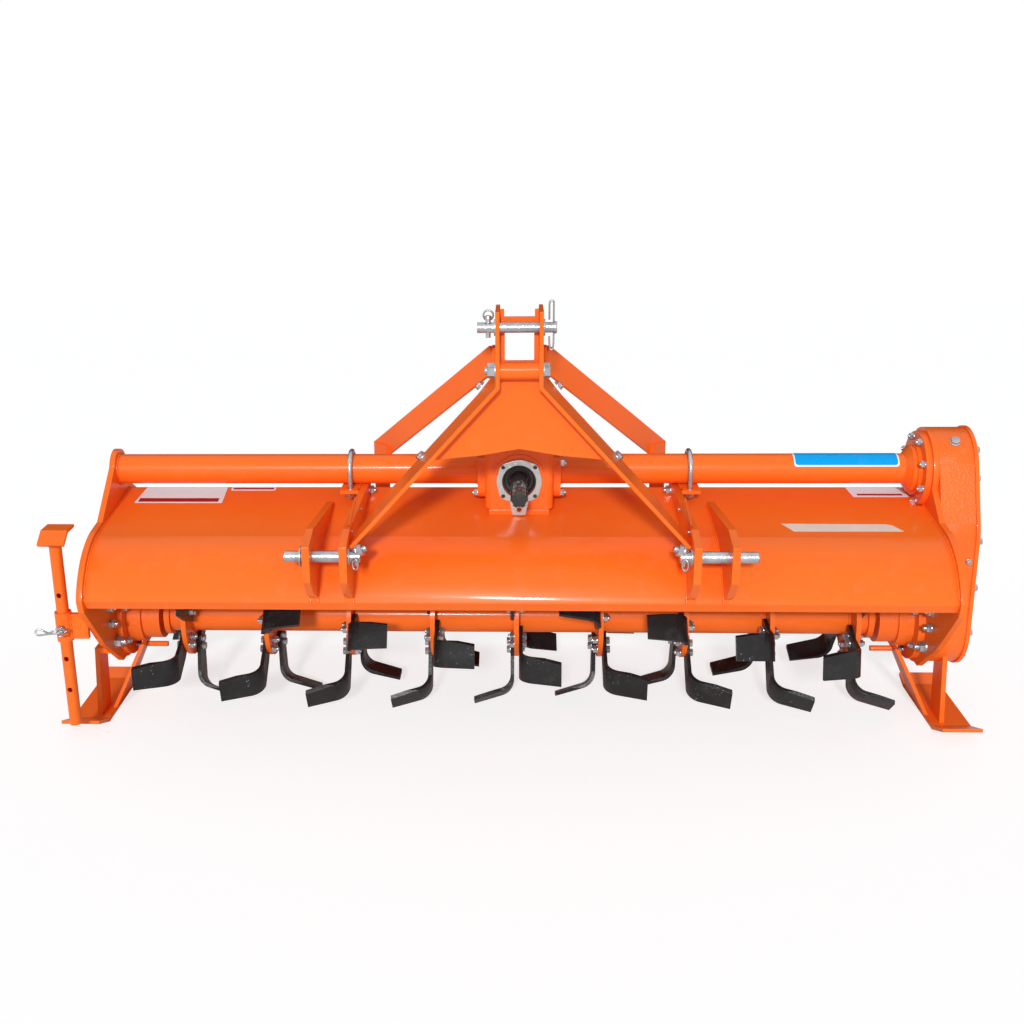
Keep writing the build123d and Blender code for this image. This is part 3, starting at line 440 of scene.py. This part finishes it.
# %% Places about the rotor and the hitch
low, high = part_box("rotor_tube")
rotor_axis = Vector((0.0, (low[1] + high[1]) / 2, (low[2] + high[2]) / 2))
low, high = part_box("mast_panel")
HITCH = round((low[0] + high[0]) / 2 / mm, 2)  # the hitch's middle, along the rotor
FORWARD, UP, DOWNWARD = Vector((0, -1, 0)), Vector((0, 0, 1)), Vector((0, 0, -1))
RIGHT, LEFT = Vector((1, 0, 0)), Vector((-1, 0, 0))
TUBE = (47, 320)                 # y and z of the cross tube, the gearbox and its input shaft
LOWER_PIN, TOP_PIN = (-302, 243), (-280, 678)
SPACER = (-282, 599)             # the spacer between the masts
PLATE_INNER, PLATE_OUTER = 860, 872            # faces of the end plates, either side of the middle
CHEEK_INNER = 326.5              # inner face of the inner hitch cheeks, from the hitch's middle
CREST, PANEL_RISE = (-148, 231.5), 33.5 / 240  # the hood's bent front ends here, the top panel climbs on


def at(x, y, z):
    """A point in millimetres about the rotor's axis."""
    return rotor_axis + Vector((x, y, z)) * mm


def facing(place, direction):
    """A frame at a point whose Z axis looks along a direction."""
    return Matrix.Translation(place) @ Vector(direction).to_track_quat("Z", "Y").to_matrix().to_4x4()


def round_place(y, z, radius, degrees):
    """A place on a bolt circle about an axis along X, as y and z."""
    return y + radius * cos(radians(degrees)), z + radius * sin(radians(degrees))


def panel_z(y):
    """Height of the hood's top panel at y."""
    return CREST[1] + (y - CREST[0]) * PANEL_RISE


print("rotor axis", tuple(round(v, 4) for v in rotor_axis), "hitch at x", HITCH)

# %% [markdown]
# ## Fasteners
# Bolts hold most of this machine together. A hexagon head, a flat washer and a length of thread are
# each one cone with equal ends, its outer rim bevelled as the real one is chamfered. All bolts of
# one body are built into one mesh, which keeps the scene light.

# %% Bars, washers and hexagons
def bar(shape, frame, radius, start, length, sides=24, rim=0.0):
    """A round or many-sided bar along the frame's Z, in millimetres, its far rim bevelled."""
    seat = frame @ Matrix.Translation((0, 0, (start + length / 2) * mm))
    made = bmesh.ops.create_cone(shape, cap_ends=True, segments=sides, radius1=radius * mm,
                                 radius2=radius * mm, depth=length * mm, matrix=seat)
    if rim:
        back = seat.inverted()
        edges = dict.fromkeys(edge for vert in made["verts"] for edge in vert.link_edges)
        far = 0.4 * length * mm
        top = [edge for edge in edges if all((back @ vert.co).z > far for vert in edge.verts)]
        bmesh.ops.bevel(shape, geom=top, offset=rim * mm, affect="EDGES", segments=2, profile=0.5,
                        material=-1)


def bolt(shape, place, direction, across=18.0, head=8.0, washer=1.6, thread=0.0, sides=24):
    """A washer, a hexagon head or nut and, on a nut, the end of the thread.

    across is the hexagon's width over its flats, which a spanner is named after.
    """
    frame = facing(place, direction)
    if washer:
        bar(shape, frame, 0.62 * across, 0, washer, sides, 0.4)
    bar(shape, frame, 0.577 * across, washer, head, 6, 0.07 * across)
    if thread:
        bar(shape, frame, 0.3 * across, washer + head, thread, max(12, sides // 2), 0.06 * across)


# %% Finishing a piece
def finish_piece(name, shape, finish, body):
    """A mesh object in one finish, smooth where it is round, riding on a body."""
    piece = mesh_object(name, shape, [finish])
    piece.data.shade_smooth()
    piece.data.set_sharp_from_angle(angle=radians(35))
    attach(piece, body)
    print(name, len(piece.data.polygons), "faces on", body)
    return piece


# %% [markdown]
# ## Bolts of the hitch
# One long bolt runs through both masts and their spacer, two go through each leg, a stud with a nut
# comes through each inner cheek beside the lower pin, and one more bolt holds the cheek's rear. They
# could be copies of one object, but then each would be a piece of its own. The legs lean, so their
# bolts are set out by a share of the way down the leg and look along its face, as a drill would.

# %% Bolts of the hitch
MAST_OUTER, LEG_TOP = 44, 571    # outer face of a mast, and where its leg starts to lean
LEG_RUN, LEG_FALL = 282, 309     # how far the leg goes outwards, and down
shape = bmesh.new()
bolt(shape, at(HITCH - MAST_OUTER, *SPACER), LEFT, 25, 13, 2.5, 5)
bolt(shape, at(HITCH + MAST_OUTER, *SPACER), RIGHT, 25, 10, 2.5)
for side, outward in ((-1, LEFT), (1, RIGHT)):
    leg_face = Vector((side * LEG_FALL, 0, LEG_RUN)).normalized()
    for share, y in ((0.113, -120), (0.52, -188)):
        foot = at(HITCH + side * (MAST_OUTER + LEG_RUN * share), y, LEG_TOP - LEG_FALL * share)
        bolt(shape, foot, leg_face, 17, 7, 1.6)
        bolt(shape, foot - leg_face * 8 * mm, -leg_face, 17, 8, 1.6, 4)
    inward = Vector((-side, -0.1, 0.4)).normalized()
    bar(shape, facing(at(HITCH + side * 328, -296, 246), inward), 6, 0, 20, 16)
    bolt(shape, at(HITCH + side * 311, -298, 253), inward, 21, 10, 2.5, 8)
    bolt(shape, at(HITCH + side * CHEEK_INNER, 60, 268), -outward, 18, 8, 1.8, 5)
    for y, z in ((-98, 274), (-250, 276)):
        bar(shape, facing(at(HITCH + side * CHEEK_INNER, y, z), -outward), 3.2, 0, 2.5, 12, 0.6)
finish_piece("hitch_bolts", shape, finishes["zinc_plate"], "frame")

# %% [markdown]
# ## Bolts of the housings
# The tubes end in plates that are bolted to the gearbox, to the gear case and to the end plates. On a
# plate a ring of bolts stands on one circle, so each ring is a loop over its angles, which is how the
# holes are drilled too. The gearbox has four bolts in its right joint plate and three in its left.

# %% Bolts of the gearbox and its joint plates
shape = bmesh.new()
for side, outward in ((-1, LEFT), (1, RIGHT)):
    for y in (1, 93):
        for z in (280, 344):
            if (side, y, z) != (-1, 1, 344):
                bolt(shape, at(HITCH + side * 87.6, y, z), outward, 13, 6.5, 1.6, 4)
finish_piece("gearbox_bolts", shape, finishes["zinc_plate"], "frame")

# %% Bolts of the drive flange, the gear case and its cover
FLANGE_FACE, COVER_FACE = 847.9, 950.2
shape = bmesh.new()
for step in range(8):
    y, z = round_place(*TUBE, 69, 22.5 + 45 * step)
    bolt(shape, at(FLANGE_FACE, y, z), LEFT, 13, 7, 1.6, 3)
cover_spots = [round_place(*TUBE, 77, angle) for angle in (0, 45, 90, 135, 180)]
cover_spots += [(-79, 200), (103, 200)]
cover_spots += [round_place(0, 0, 84, angle) for angle in (180, 225, 270, 315, 0)]
cover_spots += [(-83, 100), (93, 100)]
for y, z in cover_spots:
    bolt(shape, at(COVER_FACE, y, z), RIGHT, 13, 6, 1.6)
plug_out, rim_radius = Vector((0, -0.6, 0.8)), 88
bolt(shape, at(907, *TUBE) + plug_out * rim_radius * mm, plug_out, 17, 6, 3)
bolt(shape, at(931.6, -91, 160), FORWARD, 10, 5, 1.4)
finish_piece("case_bolts", shape, finishes["zinc_plate"], "frame")

# %% Bolts of the end bearings, skids and end plates
HUB_FACE, SKID_BOLT, GUARD_BOLTS = 845.9, (-98, -27), ((-120, 60), (-120, 24))
shape = bmesh.new()
for side, inward in ((-1, RIGHT), (1, LEFT)):
    for step in range(6):
        y, z = round_place(0, 0, 76, 30 + 60 * step)
        bolt(shape, at(side * HUB_FACE, y, z), inward, 13, 7, 1.6, 3, 20)
    bolt(shape, at(side * PLATE_INNER, *SKID_BOLT), inward, 22, 11, 2.5, 10)
    for y, z in GUARD_BOLTS:
        bolt(shape, at(side * PLATE_INNER, y, z), inward, 17, 8, 2, 6)
for y, z in (SKID_BOLT, *GUARD_BOLTS):
    bolt(shape, at(-PLATE_OUTER, y, z), LEFT, 17, 8, 2)
for step in range(6):
    y, z = round_place(0, 0, 46, 60 * step)
    bolt(shape, at(-879, y, z), LEFT, 10, 5, 1.2)
finish_piece("end_bolts", shape, finishes["zinc_plate"], "frame")

# %% [markdown]
# ## Bearing cap
# On the side without gears the rotor's bearing is closed by a cap outside the end plate. It could be
# spun from a section, but it is only two round steps, so two bars with broken rims make it.

# %% Bearing cap outside the left end plate
shape = bmesh.new()
cap = facing(at(-872.2, 0, 0), LEFT)
bar(shape, cap, 57, 0, 7, 64, 1.5)
bar(shape, cap, 33, 6.5, 13, 48, 5)
finish_piece("bearing_cap", shape, finishes["orange_casting"], "frame")

# %% [markdown]
# ## Bolts of the tines
# Each tine is held to its flange by two bolts, with the head on the tine and the nut on the far
# side. They turn with the rotor. The pattern is set out once for a tine that points upwards and is
# turned to each place, as a jig would do it.

# %% Tine bolts, one mesh for the rotor
FLANGES, FLANGE_SHIFT, FLANGE_PITCH = range(-4, 5), 5, 179.5
FIRST_TINE, HELIX_STEP = 107.8, 120 / 9        # degrees from upright, and from flange to flange


def flange_x(flange):
    """Middle of a tine flange along the rotor, counted from the middle one."""
    return FLANGE_SHIFT + FLANGE_PITCH * flange


shape = bmesh.new()
tine_count = 0
for flange in FLANGES:
    for step in range(3):
        for side in (1, -1):
            angle = FIRST_TINE + HELIX_STEP * flange + 120 * step + (0 if side > 0 else 60)
            middle = at(flange_x(flange), 0, 0)
            turned = Matrix.Translation(middle) @ Matrix.Rotation(radians(angle), 4, "X")
            for y, z in ((-10.5, 60), (-15, 80)):
                out = (turned.to_3x3() @ Vector((side, 0, 0))).normalized()
                bolt(shape, turned @ (Vector((side * 13.1, y, z)) * mm), out, 15, 7, 1.5, 0, 12)
                bolt(shape, turned @ (Vector((-side * 5, y, z)) * mm), -out, 15, 8, 1.5, 4, 12)
            tine_count += 1
finish_piece("tine_bolts", shape, finishes["zinc_plate"], "rotor")
print(tine_count, "tines bolted")

# %% [markdown]
# ## Round clamps of the cross tube
# A clamp is a bar bent round the tube, threaded at both legs, with a washer and a nut under the
# saddle. The arch is a small circle spun half a turn, and the legs are the same circle extruded.
# It replaces the eight-sided stand-in of the frame.

# %% Clamps
CLAMP_BAR, CLAMP_BEND, CLAMP_LEG = 5.3, 38.3, 54   # radius of bar and of bend, and length of a leg


def bent_clamp(name, x):
    """A bar bent over the tube at x, with a washer and nut on each leg."""
    shape = bmesh.new()
    tube = at(x, *TUBE)
    start = Matrix.Translation(tube + Vector((0, -CLAMP_BEND * mm, 0)))
    ring = bmesh.ops.create_circle(shape, cap_ends=False, segments=16, radius=CLAMP_BAR * mm, matrix=start)
    edges = list(dict.fromkeys(edge for vert in ring["verts"] for edge in vert.link_edges))
    bmesh.ops.spin(shape, geom=edges, cent=tube, axis=(-1, 0, 0), angle=pi, steps=28)
    rims = [edge for edge in shape.edges if edge.is_boundary]
    grown = bmesh.ops.extrude_edge_only(shape, edges=rims)["geom"]
    ends = [item for item in grown if isinstance(item, bmesh.types.BMVert)]
    bmesh.ops.translate(shape, verts=ends, vec=(0, 0, -CLAMP_LEG * mm))
    bmesh.ops.holes_fill(shape, edges=[edge for edge in shape.edges if edge.is_boundary], sides=0)
    for side in (-1, 1):
        bolt(shape, at(x, TUBE[0] + side * CLAMP_BEND, 279.8), DOWNWARD, 19, 9, 2)
    bmesh.ops.recalc_face_normals(shape, faces=shape.faces)
    return finish_piece(name, shape, finishes["zinc_plate"], "frame")


for label, side in (("left", -1), ("right", 1)):
    low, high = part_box("ubolt_" + label)
    clamp = bent_clamp("round_clamp_" + label, (low[0] + high[0]) / 2 / mm)
    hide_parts("ubolt_" + label)

# %% [markdown]
# ## Pins, rings and spring clips
# The linkage pins are kept in place by wire clips, so that a farmer can swap tools without a
# spanner. A clip is one smooth spline with the wire's radius, which follows the bends that the
# wire is formed to.

# %% Wire clips
def curve_piece(curve, slot_name, body, count):
    """A curve object in the finish of a slot, riding on a body."""
    curve.materials.append(finishes[slot_name])
    piece = bpy.data.objects.new(curve.name, curve)
    scene.collection.objects.link(piece)
    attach(piece, body)
    print(curve.name, count, "runs")
    return piece


def wire(name, runs, radius, cyclic=False):
    """Round wire along smooth runs of points, as one curve object."""
    curve = bpy.data.curves.new(name, "CURVE")
    curve.dimensions = "3D"
    curve.bevel_depth = radius * mm
    curve.bevel_resolution = 3
    curve.use_fill_caps = True
    for run in runs:
        spline = curve.splines.new("NURBS")
        spline.points.add(len(run) - 1)
        for point, place in zip(spline.points, run):
            point.co = (*place, 1)
        spline.order_u = 3
        spline.use_cyclic_u = cyclic
        spline.use_endpoint_u = not cyclic
        spline.resolution_u = 8
    return curve_piece(curve, "zinc_plate", "frame", len(runs))


def circle_run(centre, across, along, radius, count=10):
    """Control points of a ring in the plane of two directions; the spline runs a little inside them."""
    reach = 1.05 * radius * mm
    turns = [tau * step / count for step in range(count)]
    return [centre + (Vector(across) * cos(turn) + Vector(along) * sin(turn)) * reach for turn in turns]


# %% Clips and rings of the pins
x = HITCH + 58
wire("top_pin_clip", [[at(x - 4, -280, 662), at(x - 4, -281, 641), at(x, -281, 636), at(x + 4, -281, 641),
                       at(x + 4, -280, 680), at(x + 4, -280, 716), at(x + 4, -282, 727), at(x - 4, -282, 727),
                       at(x - 4, -281, 712), at(x - 4, -280, 692)]], 1.7)
wire("top_pin_ring", [circle_run(at(HITCH - 57, -268, 699), RIGHT, UP, 9)], 1.8, cyclic=True)
wire("lower_pin_rings", [circle_run(at(HITCH + side * 313, -318, 233), RIGHT * 0.5 + FORWARD * 0.2, UP, 11)
                         for side in (-1, 1)], 1.6, cyclic=True)

# %% Clip of the parking stand
y = -250.5
wire("stand_clip", [[at(-905, y, 62), at(-922, y - 3, 58), at(-950, y - 3, 56), at(-966, y - 2, 52),
                     at(-972, y, 60), at(-964, y + 2, 66), at(-952, y + 3, 60), at(-940, y - 8, 60),
                     at(-930, y - 12, 66), at(-920, y - 8, 72), at(-908, y - 3, 66)],
                    [at(-922, y - 2, 66), at(-915, y - 10, 68), at(-910, y - 6, 58), at(-914, y - 1, 52),
                     at(-922, y - 4, 52)]], 1.9)

# %% [markdown]
# ## Keepers of the pins
# A linch pin goes down through each linkage pin and is locked by its ring, and washers keep the plates
# from being rubbed. All of them are turned parts. A section could be spun for each, but they are so
# plain that a bar with a broken rim has the same shape with less to read.

# %% Linch pins, washers and pin heads
shape = bmesh.new()
for side, outward, washer_x in ((-1, LEFT, 418), (1, RIGHT, 412.6)):
    bar(shape, facing(at(HITCH + side * 313, LOWER_PIN[0], 226), UP), 4.5, 0, 34, 16, 1.2)
    bar(shape, facing(at(HITCH + side * 313, LOWER_PIN[0], 253), UP), 8, 0, 8, 20, 2.5)
    bar(shape, facing(at(HITCH + side * washer_x, *LOWER_PIN), outward), 20, 0, 2.8, 32, 0.6)
    bar(shape, facing(at(HITCH + side * 326.4, *LOWER_PIN), -outward), 17, 0, 2.5, 32, 0.6)
bar(shape, facing(at(HITCH - 57, TOP_PIN[0], 660), UP), 4.5, 0, 36, 16, 1.2)
bar(shape, facing(at(HITCH - 57, TOP_PIN[0], 692), UP), 6.5, 0, 8, 20, 2.5)
bar(shape, facing(at(HITCH + 63.6, *TOP_PIN), RIGHT), 11, 0, 4, 24, 1)
bar(shape, facing(at(HITCH - 44.1, *TOP_PIN), LEFT), 15, 0, 2.5, 32, 0.6)
bar(shape, facing(at(HITCH + 44.1, *TOP_PIN), RIGHT), 15, 0, 2.5, 32, 0.6)
finish_piece("pin_keepers", shape, finishes["zinc_plate"], "frame")

# %% [markdown]
# ## Keepers of the trailing board
# The two hanging rods turn on pins across the board's lugs, and a washer and a split pin keep each end.
# They could ride on the rods as well, but the pins are held by the board's lugs and swing with it, so
# they ride on the board.

# %% Washers and split pins of the trailing board
ROD_X, LUG_HALF, ROD_PIN = 361.1, 22, (374, -10)
shape = bmesh.new()
for side in (-1, 1):
    for look in (LEFT, RIGHT):
        x = HITCH + side * ROD_X + look.x * LUG_HALF
        bar(shape, facing(at(x, *ROD_PIN), look), 11, -2.6, 2.4, 24, 0.5)
        bar(shape, facing(at(x + look.x * 1.5, ROD_PIN[0], ROD_PIN[1] - 9), UP), 1.7, 0, 18, 10)
finish_piece("board_washers", shape, finishes["zinc_plate"], "trailing_board")

# %% [markdown]
# ## Input seal and painted shade of the cap's holes
# A rubber lip seal keeps the oil in and the dirt out where the shaft enters the gearbox. It is a
# body of revolution, so its half section is spun round the shaft's axis, with the last ring merged
# to the first. The ring in front of it has four holes, and the shade in them is painted as thin black discs.

# %% Seal
def spun(name, section, middle, finish, body):
    """A closed half section of (radius, forward) millimetres, spun round the Y axis through middle."""
    shape = bmesh.new()
    corners = [shape.verts.new(middle + Vector((radius, -forward, 0)) * mm) for radius, forward in section]
    rim = [shape.edges.new((first, second)) for first, second in zip(corners, corners[1:] + corners[:1])]
    bmesh.ops.spin(shape, geom=corners + rim, cent=middle, axis=(0, 1, 0), angle=tau, steps=48,
                   use_merge=True)
    bmesh.ops.remove_doubles(shape, verts=shape.verts, dist=1e-6)
    bmesh.ops.recalc_face_normals(shape, faces=shape.faces)
    return finish_piece(name, shape, finish, body)


SEAL = [(34.8, 38), (34.8, 45), (31, 46), (29, 42), (25, 41.5), (21, 44.5), (18.6, 43), (18.4, 40), (20, 38)]
spun("input_seal", SEAL, at(HITCH, 0, TUBE[1]), trim["seal_rubber"], "frame")

# %% Painted shade of the cap's holes, and end of the shaft
shape = bmesh.new()
# Thin black discs at the cap's four holes: painted shade for the holes.
for across in (-33, 33):
    for rise in (-31, 31):
        bar(shape, facing(at(HITCH + across, -55, TUBE[1] + rise), FORWARD), 4.2, 0, 0.7, 20, 0.3)
finish_piece("cap_hole_shade", shape, finishes["shaft_black"], "frame")
shape = bmesh.new()
shaft_end = facing(at(HITCH, -181, TUBE[1]), FORWARD)
bar(shape, shaft_end, 15.2, -0.4, 0.8, 32, 0.3)
bar(shape, shaft_end, 5.5, 0.2, 0.6, 20, 0.2)
finish_piece("shaft_end", shape, finishes["shaft_black"], "input_shaft")

# %% [markdown]
# ## Gearbox lid
# The gears go in from above, so a real box of this kind has a bolted lid with a filler plug. The
# lid is a rounded plate: a cube scaled to size whose upright edges and then top rim are bevelled.

# %% Lid and filler
LID_SIZE, LID_Y = (0.118, 0.128, 0.008), 44
low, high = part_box("gearbox_housing")
lid_z = high[2]
shape = bmesh.new()
lid_middle = Vector((HITCH * mm, at(0, LID_Y, 0).y, lid_z + LID_SIZE[2] / 2))
seat = Matrix.Translation(lid_middle) @ Matrix.Diagonal((*LID_SIZE, 1))
bmesh.ops.create_cube(shape, size=1.0, matrix=seat)
uprights = [edge for edge in shape.edges if abs(edge.verts[0].co.z - edge.verts[1].co.z) > mm]
bmesh.ops.bevel(shape, geom=uprights, offset=0.012, affect="EDGES", segments=5, profile=0.5, material=-1)
rim = [edge for edge in shape.edges if all(vert.co.z > lid_middle.z for vert in edge.verts)]
bmesh.ops.bevel(shape, geom=rim, offset=0.0015, affect="EDGES", segments=2, profile=0.5, material=-1)
finish_piece("gearbox_lid", shape, finishes["orange_casting"], "frame")
shape = bmesh.new()
lid_top = (lid_z + LID_SIZE[2] - rotor_axis.z) / mm
for across in (-49, 49):
    for y in (LID_Y - 54, LID_Y, LID_Y + 54):
        bolt(shape, at(HITCH + across, y, lid_top), UP, 13, 6, 1.6)
bolt(shape, at(HITCH + 18, 66, lid_top), UP, 22, 12, 2)
finish_piece("lid_bolts", shape, finishes["zinc_plate"], "frame")

# %% [markdown]
# ## Weld beads
# Nearly every joint of sheet and plate is a hand weld, painted over. A bead is a row of small
# overlapping puddles, which a spline shows well when its radius swells and shrinks every few
# millimetres. All beads of one body are one curve.

# %% Beads
def bead_runs(name, runs, body):
    """Painted weld beads: each run is (points, radius in millimetres, closed or not)."""
    curve = bpy.data.curves.new(name, "CURVE")
    curve.dimensions = "3D"
    curve.bevel_depth = mm
    curve.bevel_resolution = 1
    for points, radius, closed in runs:
        path = list(points) + ([points[0]] if closed else [])
        stops = []
        for first, second in zip(path, path[1:]):
            count = max(1, round((second - first).length / (3.6 * mm)))
            stops += [first.lerp(second, step / count) for step in range(count)]
        if not closed:
            stops.append(path[-1])
        spline = curve.splines.new("POLY")
        spline.points.add(len(stops) - 1)
        spline.use_cyclic_u = closed
        for index, place in enumerate(stops):
            spline.points[index].co = (*place, 1)
            spline.points[index].radius = radius * (1.0 + 0.14 * (-1) ** index + 0.07 * sin(1.7 * index))
    return curve_piece(curve, "orange_paint", body, len(runs))


# %% Lines that the beads follow
HOOD_LIP, HOOD_SWELL = (-262, 131), 20     # lower front edge of the hood, and how far its front bulges


def ring_round(x, y, z, radius, count=40):
    """Points of a circle about an axis along X."""
    return [at(x, *round_place(y, z, radius, 360 * step / count)) for step in range(count)]


def hood_line():
    """The bulged front of the hood from its lip to the crest, as (y, z) on one arc."""
    chord = Vector(CREST) - Vector(HOOD_LIP)
    out = Vector((-chord.y, chord.x)).normalized()
    radius = (chord.length ** 2 / 4 + HOOD_SWELL ** 2) / (2 * HOOD_SWELL)
    centre = Vector(HOOD_LIP) + chord / 2 + out * (HOOD_SWELL - radius)
    first, last = Vector(HOOD_LIP) - centre, Vector(CREST) - centre
    return [tuple(centre + first.lerp(last, step / 12).normalized() * radius) for step in range(13)]


front = hood_line()
print("hood front:", len(front), "points")

# %% Beads of the frame
frame_beads = []
for side in (-1, 1):
    for edge, rear in ((CHEEK_INNER, 88), (341.5, 88), (397.5, 0), (412.5, 0)):
        x = HITCH + side * edge
        foot = [at(x, y, z) for y, z in front]
        frame_beads.append((foot + [at(x, rear, panel_z(rear))], 2.6, False))
    x = side * (PLATE_INNER - 1)
    frame_beads.append(([at(x, y, z) for y, z in front[1:]] + [at(x, 92, 265), at(x, 232, 184)], 2.4, False))
    frame_beads.append((ring_round(HITCH + side * 36, *SPACER, 16.6, 24), 1.8, True))
    frame_beads.append((ring_round(HITCH + side * 88.4, *TUBE, 32.6), 2.4, True))
    frame_beads.append(([at(HITCH + side * 342.2, y, 288.4) for y in (-8, 102)], 2.4, False))
    frame_beads.append(([at(HITCH + side * 326, -292, 300), at(HITCH + side * 326, -180, 322)], 2.6, False))
    frame_beads.append(([at(side * 889, -94, -204), at(side * 889, -36, -204)], 2.4, False))
    frame_beads.append(([at(side * 889, -60, -203), at(side * 889, 60, -203)], 2.4, False))
frame_beads.append((ring_round(1 - PLATE_INNER, *TUBE, 32.6), 2.8, True))
frame_beads.append((ring_round(832.9, *TUBE, 33), 2.4, True))
frame_beads.append(([at(-873, -222.5, 34), at(-873, -222.5, 86)], 2.4, False))
frame_beads.append(([at(-906, -222.5, 34), at(-906, -222.5, 86)], 2.0, False))
bead_runs("frame_welds", frame_beads, "frame")

# %% Beads of the rotor
rotor_beads = []
for flange in FLANGES:
    for side in (-1, 1):
        rotor_beads.append((ring_round(flange_x(flange) + side * 5.8, 0, 0, 38.8), 2.6, True))
bead_runs("rotor_welds", rotor_beads, "rotor")

# %% [markdown]
# ## Blank stickers and tape
# Stickers and a strip of paper tape are part of how such a machine looks, and these are plain fields of
# colour. Each is a thin plate on the hood's top panel. It starts as one face through its corners, which
# are rounded by a bevel of the vertices, and is then extruded to the film's thickness.

# %% Stickers on the top panel
FILM_THICK = 0.3


def sticker(name, corners, finish, lift=0.25, corner=3.0):
    """A thin rounded plate on the hood's top panel; corners are (x, y) in millimetres."""
    shape = bmesh.new()
    verts = [shape.verts.new(at(x, y, panel_z(y) + lift)) for x, y in corners]
    bmesh.ops.contextual_create(shape, geom=verts)
    bmesh.ops.bevel(shape, geom=verts, offset=corner * mm, affect="VERTICES", segments=4, profile=0.5,
                    material=-1)
    bmesh.ops.recalc_face_normals(shape, faces=shape.faces)
    if shape.faces[:][0].normal.z < 0:
        bmesh.ops.reverse_faces(shape, faces=shape.faces)
    top = bmesh.ops.extrude_face_region(shape, geom=shape.faces[:])["geom"]
    lifted = [item for item in top if isinstance(item, bmesh.types.BMVert)]
    bmesh.ops.translate(shape, verts=lifted, vec=(0, -0.14 * FILM_THICK * mm, FILM_THICK * mm))
    bmesh.ops.recalc_face_normals(shape, faces=shape.faces)
    return finish_piece(name, shape, finish, "frame")


def block(x0, x1, y0, y1):
    """The four corners of an upright rectangle."""
    return [(x0, y0), (x1, y0), (x1, y1), (x0, y1)]


sticker("sticker_left", [(-826, 9), (-633, 9), (-637, 90), (-818, 90)], trim["white_vinyl"])
sticker("sticker_left_bar", block(-819, -643, 14, 32), trim["red_vinyl"], 0.6, 1.0)
sticker("sticker_small", block(-627, -528, 73, 91), trim["white_vinyl"])
sticker("sticker_small_bar", block(-623, -532, 78, 86), trim["red_vinyl"], 0.6, 0.5)
sticker("sticker_right", [(724, 41), (841, 41), (836, 91), (717, 91)], trim["white_vinyl"])
sticker("sticker_right_bar", block(734, 829, 48, 56), trim["red_vinyl"], 0.6, 0.5)
torn = [(566, -123), (785, -122), (769, -95), (756, -90), (546, -88)]
sticker("tape_strip", torn, trim["paper_tape"], 0.2, 0.5)

# %% [markdown]
# ## Sticker on the drive tube
# A sticker on a tube is cut flat and then rolled on. The shape is made in the same order: a rounded
# rectangle as wide as the arc is long, cut across into narrow strips by planes, and each vertex then
# laid on the tube. A blue field lies on a white one that stands out round it as a border.

# %% Sticker rolled round the drive tube
STRIPS = 24


def rolled(name, x0, x1, start, end, radius, finish):
    """A rounded strip on the drive tube, from one angle above level to another."""
    shape = bmesh.new()
    arc = radians(end - start) * radius * mm
    ends = ((x0 * mm, 0), (x1 * mm, 0), (x1 * mm, arc), (x0 * mm, arc))
    verts = [shape.verts.new((x, across, 0)) for x, across in ends]
    bmesh.ops.contextual_create(shape, geom=verts)
    bmesh.ops.bevel(shape, geom=verts, offset=6 * mm, affect="VERTICES", segments=5, profile=0.5,
                    material=-1)
    for step in range(1, STRIPS):
        geom = shape.verts[:] + shape.edges[:] + shape.faces[:]
        bmesh.ops.bisect_plane(shape, geom=geom, plane_co=(0, arc * step / STRIPS, 0), plane_no=(0, 1, 0))
    for vert in shape.verts:
        angle = radians(start) + vert.co.y / (radius * mm)
        vert.co = at(vert.co.x / mm, TUBE[0] - radius * cos(angle), TUBE[1] + radius * sin(angle))
    bmesh.ops.solidify(shape, geom=shape.faces[:], thickness=-0.2 * mm)
    bmesh.ops.recalc_face_normals(shape, faces=shape.faces)
    return finish_piece(name, shape, finish, "frame")


rolled("tube_sticker_edge", 589, 808, 22, 122, 32.15, trim["white_vinyl"])
rolled("tube_sticker", 592, 805, 28, 116, 32.45, trim["blue_vinyl"])

# %% [markdown]
# ## Broken edges
# No plate edge is perfectly sharp: the cut is ground and the paint rounds it, so it catches the
# light as a thin line. The frame's nodes are loose triangles, so a Weld modifier joins them and a
# small Bevel rounds only the sharp corners.

# %% Edges of the plates
SOFTENED = ["hood_shell", "mast_panel", "gearbox_housing", "gearbox_base", "input_cap", "side_gear_case",
            "side_case_cover", "parking_stand"]
for pair in ("end_plate", "mast_leg", "hitch_cheek_inner", "hitch_cheek_outer", "rear_stay", "skid"):
    SOFTENED += [pair + "_left", pair + "_right"]
SOFTENED += ["tine_gang_%d" % order for order in range(1, 10)]
EDGE_WIDTH = 1.2
OTHER_WIDTHS = {"gearbox_housing": 2.2, "input_cap": 0.8, "side_gear_case": 1.6, "hood_shell": 0.8}


def soften(node, width):
    """Joins a node's loose triangles and rounds its sharp edges to that width in millimetres."""
    join = node.modifiers.new("join", "WELD")
    join.merge_threshold = 1e-5
    edge = node.modifiers.new("broken_edge", "BEVEL")
    edge.width = width * mm
    edge.segments = 2
    edge.limit_method = "ANGLE"
    edge.angle_limit = radians(32)
    edge.use_clamp_overlap = True


for name in SOFTENED:
    soften(frame["nodes"][name], OTHER_WIDTHS.get(name, EDGE_WIDTH))
print("edges broken on", len(SOFTENED), "nodes")
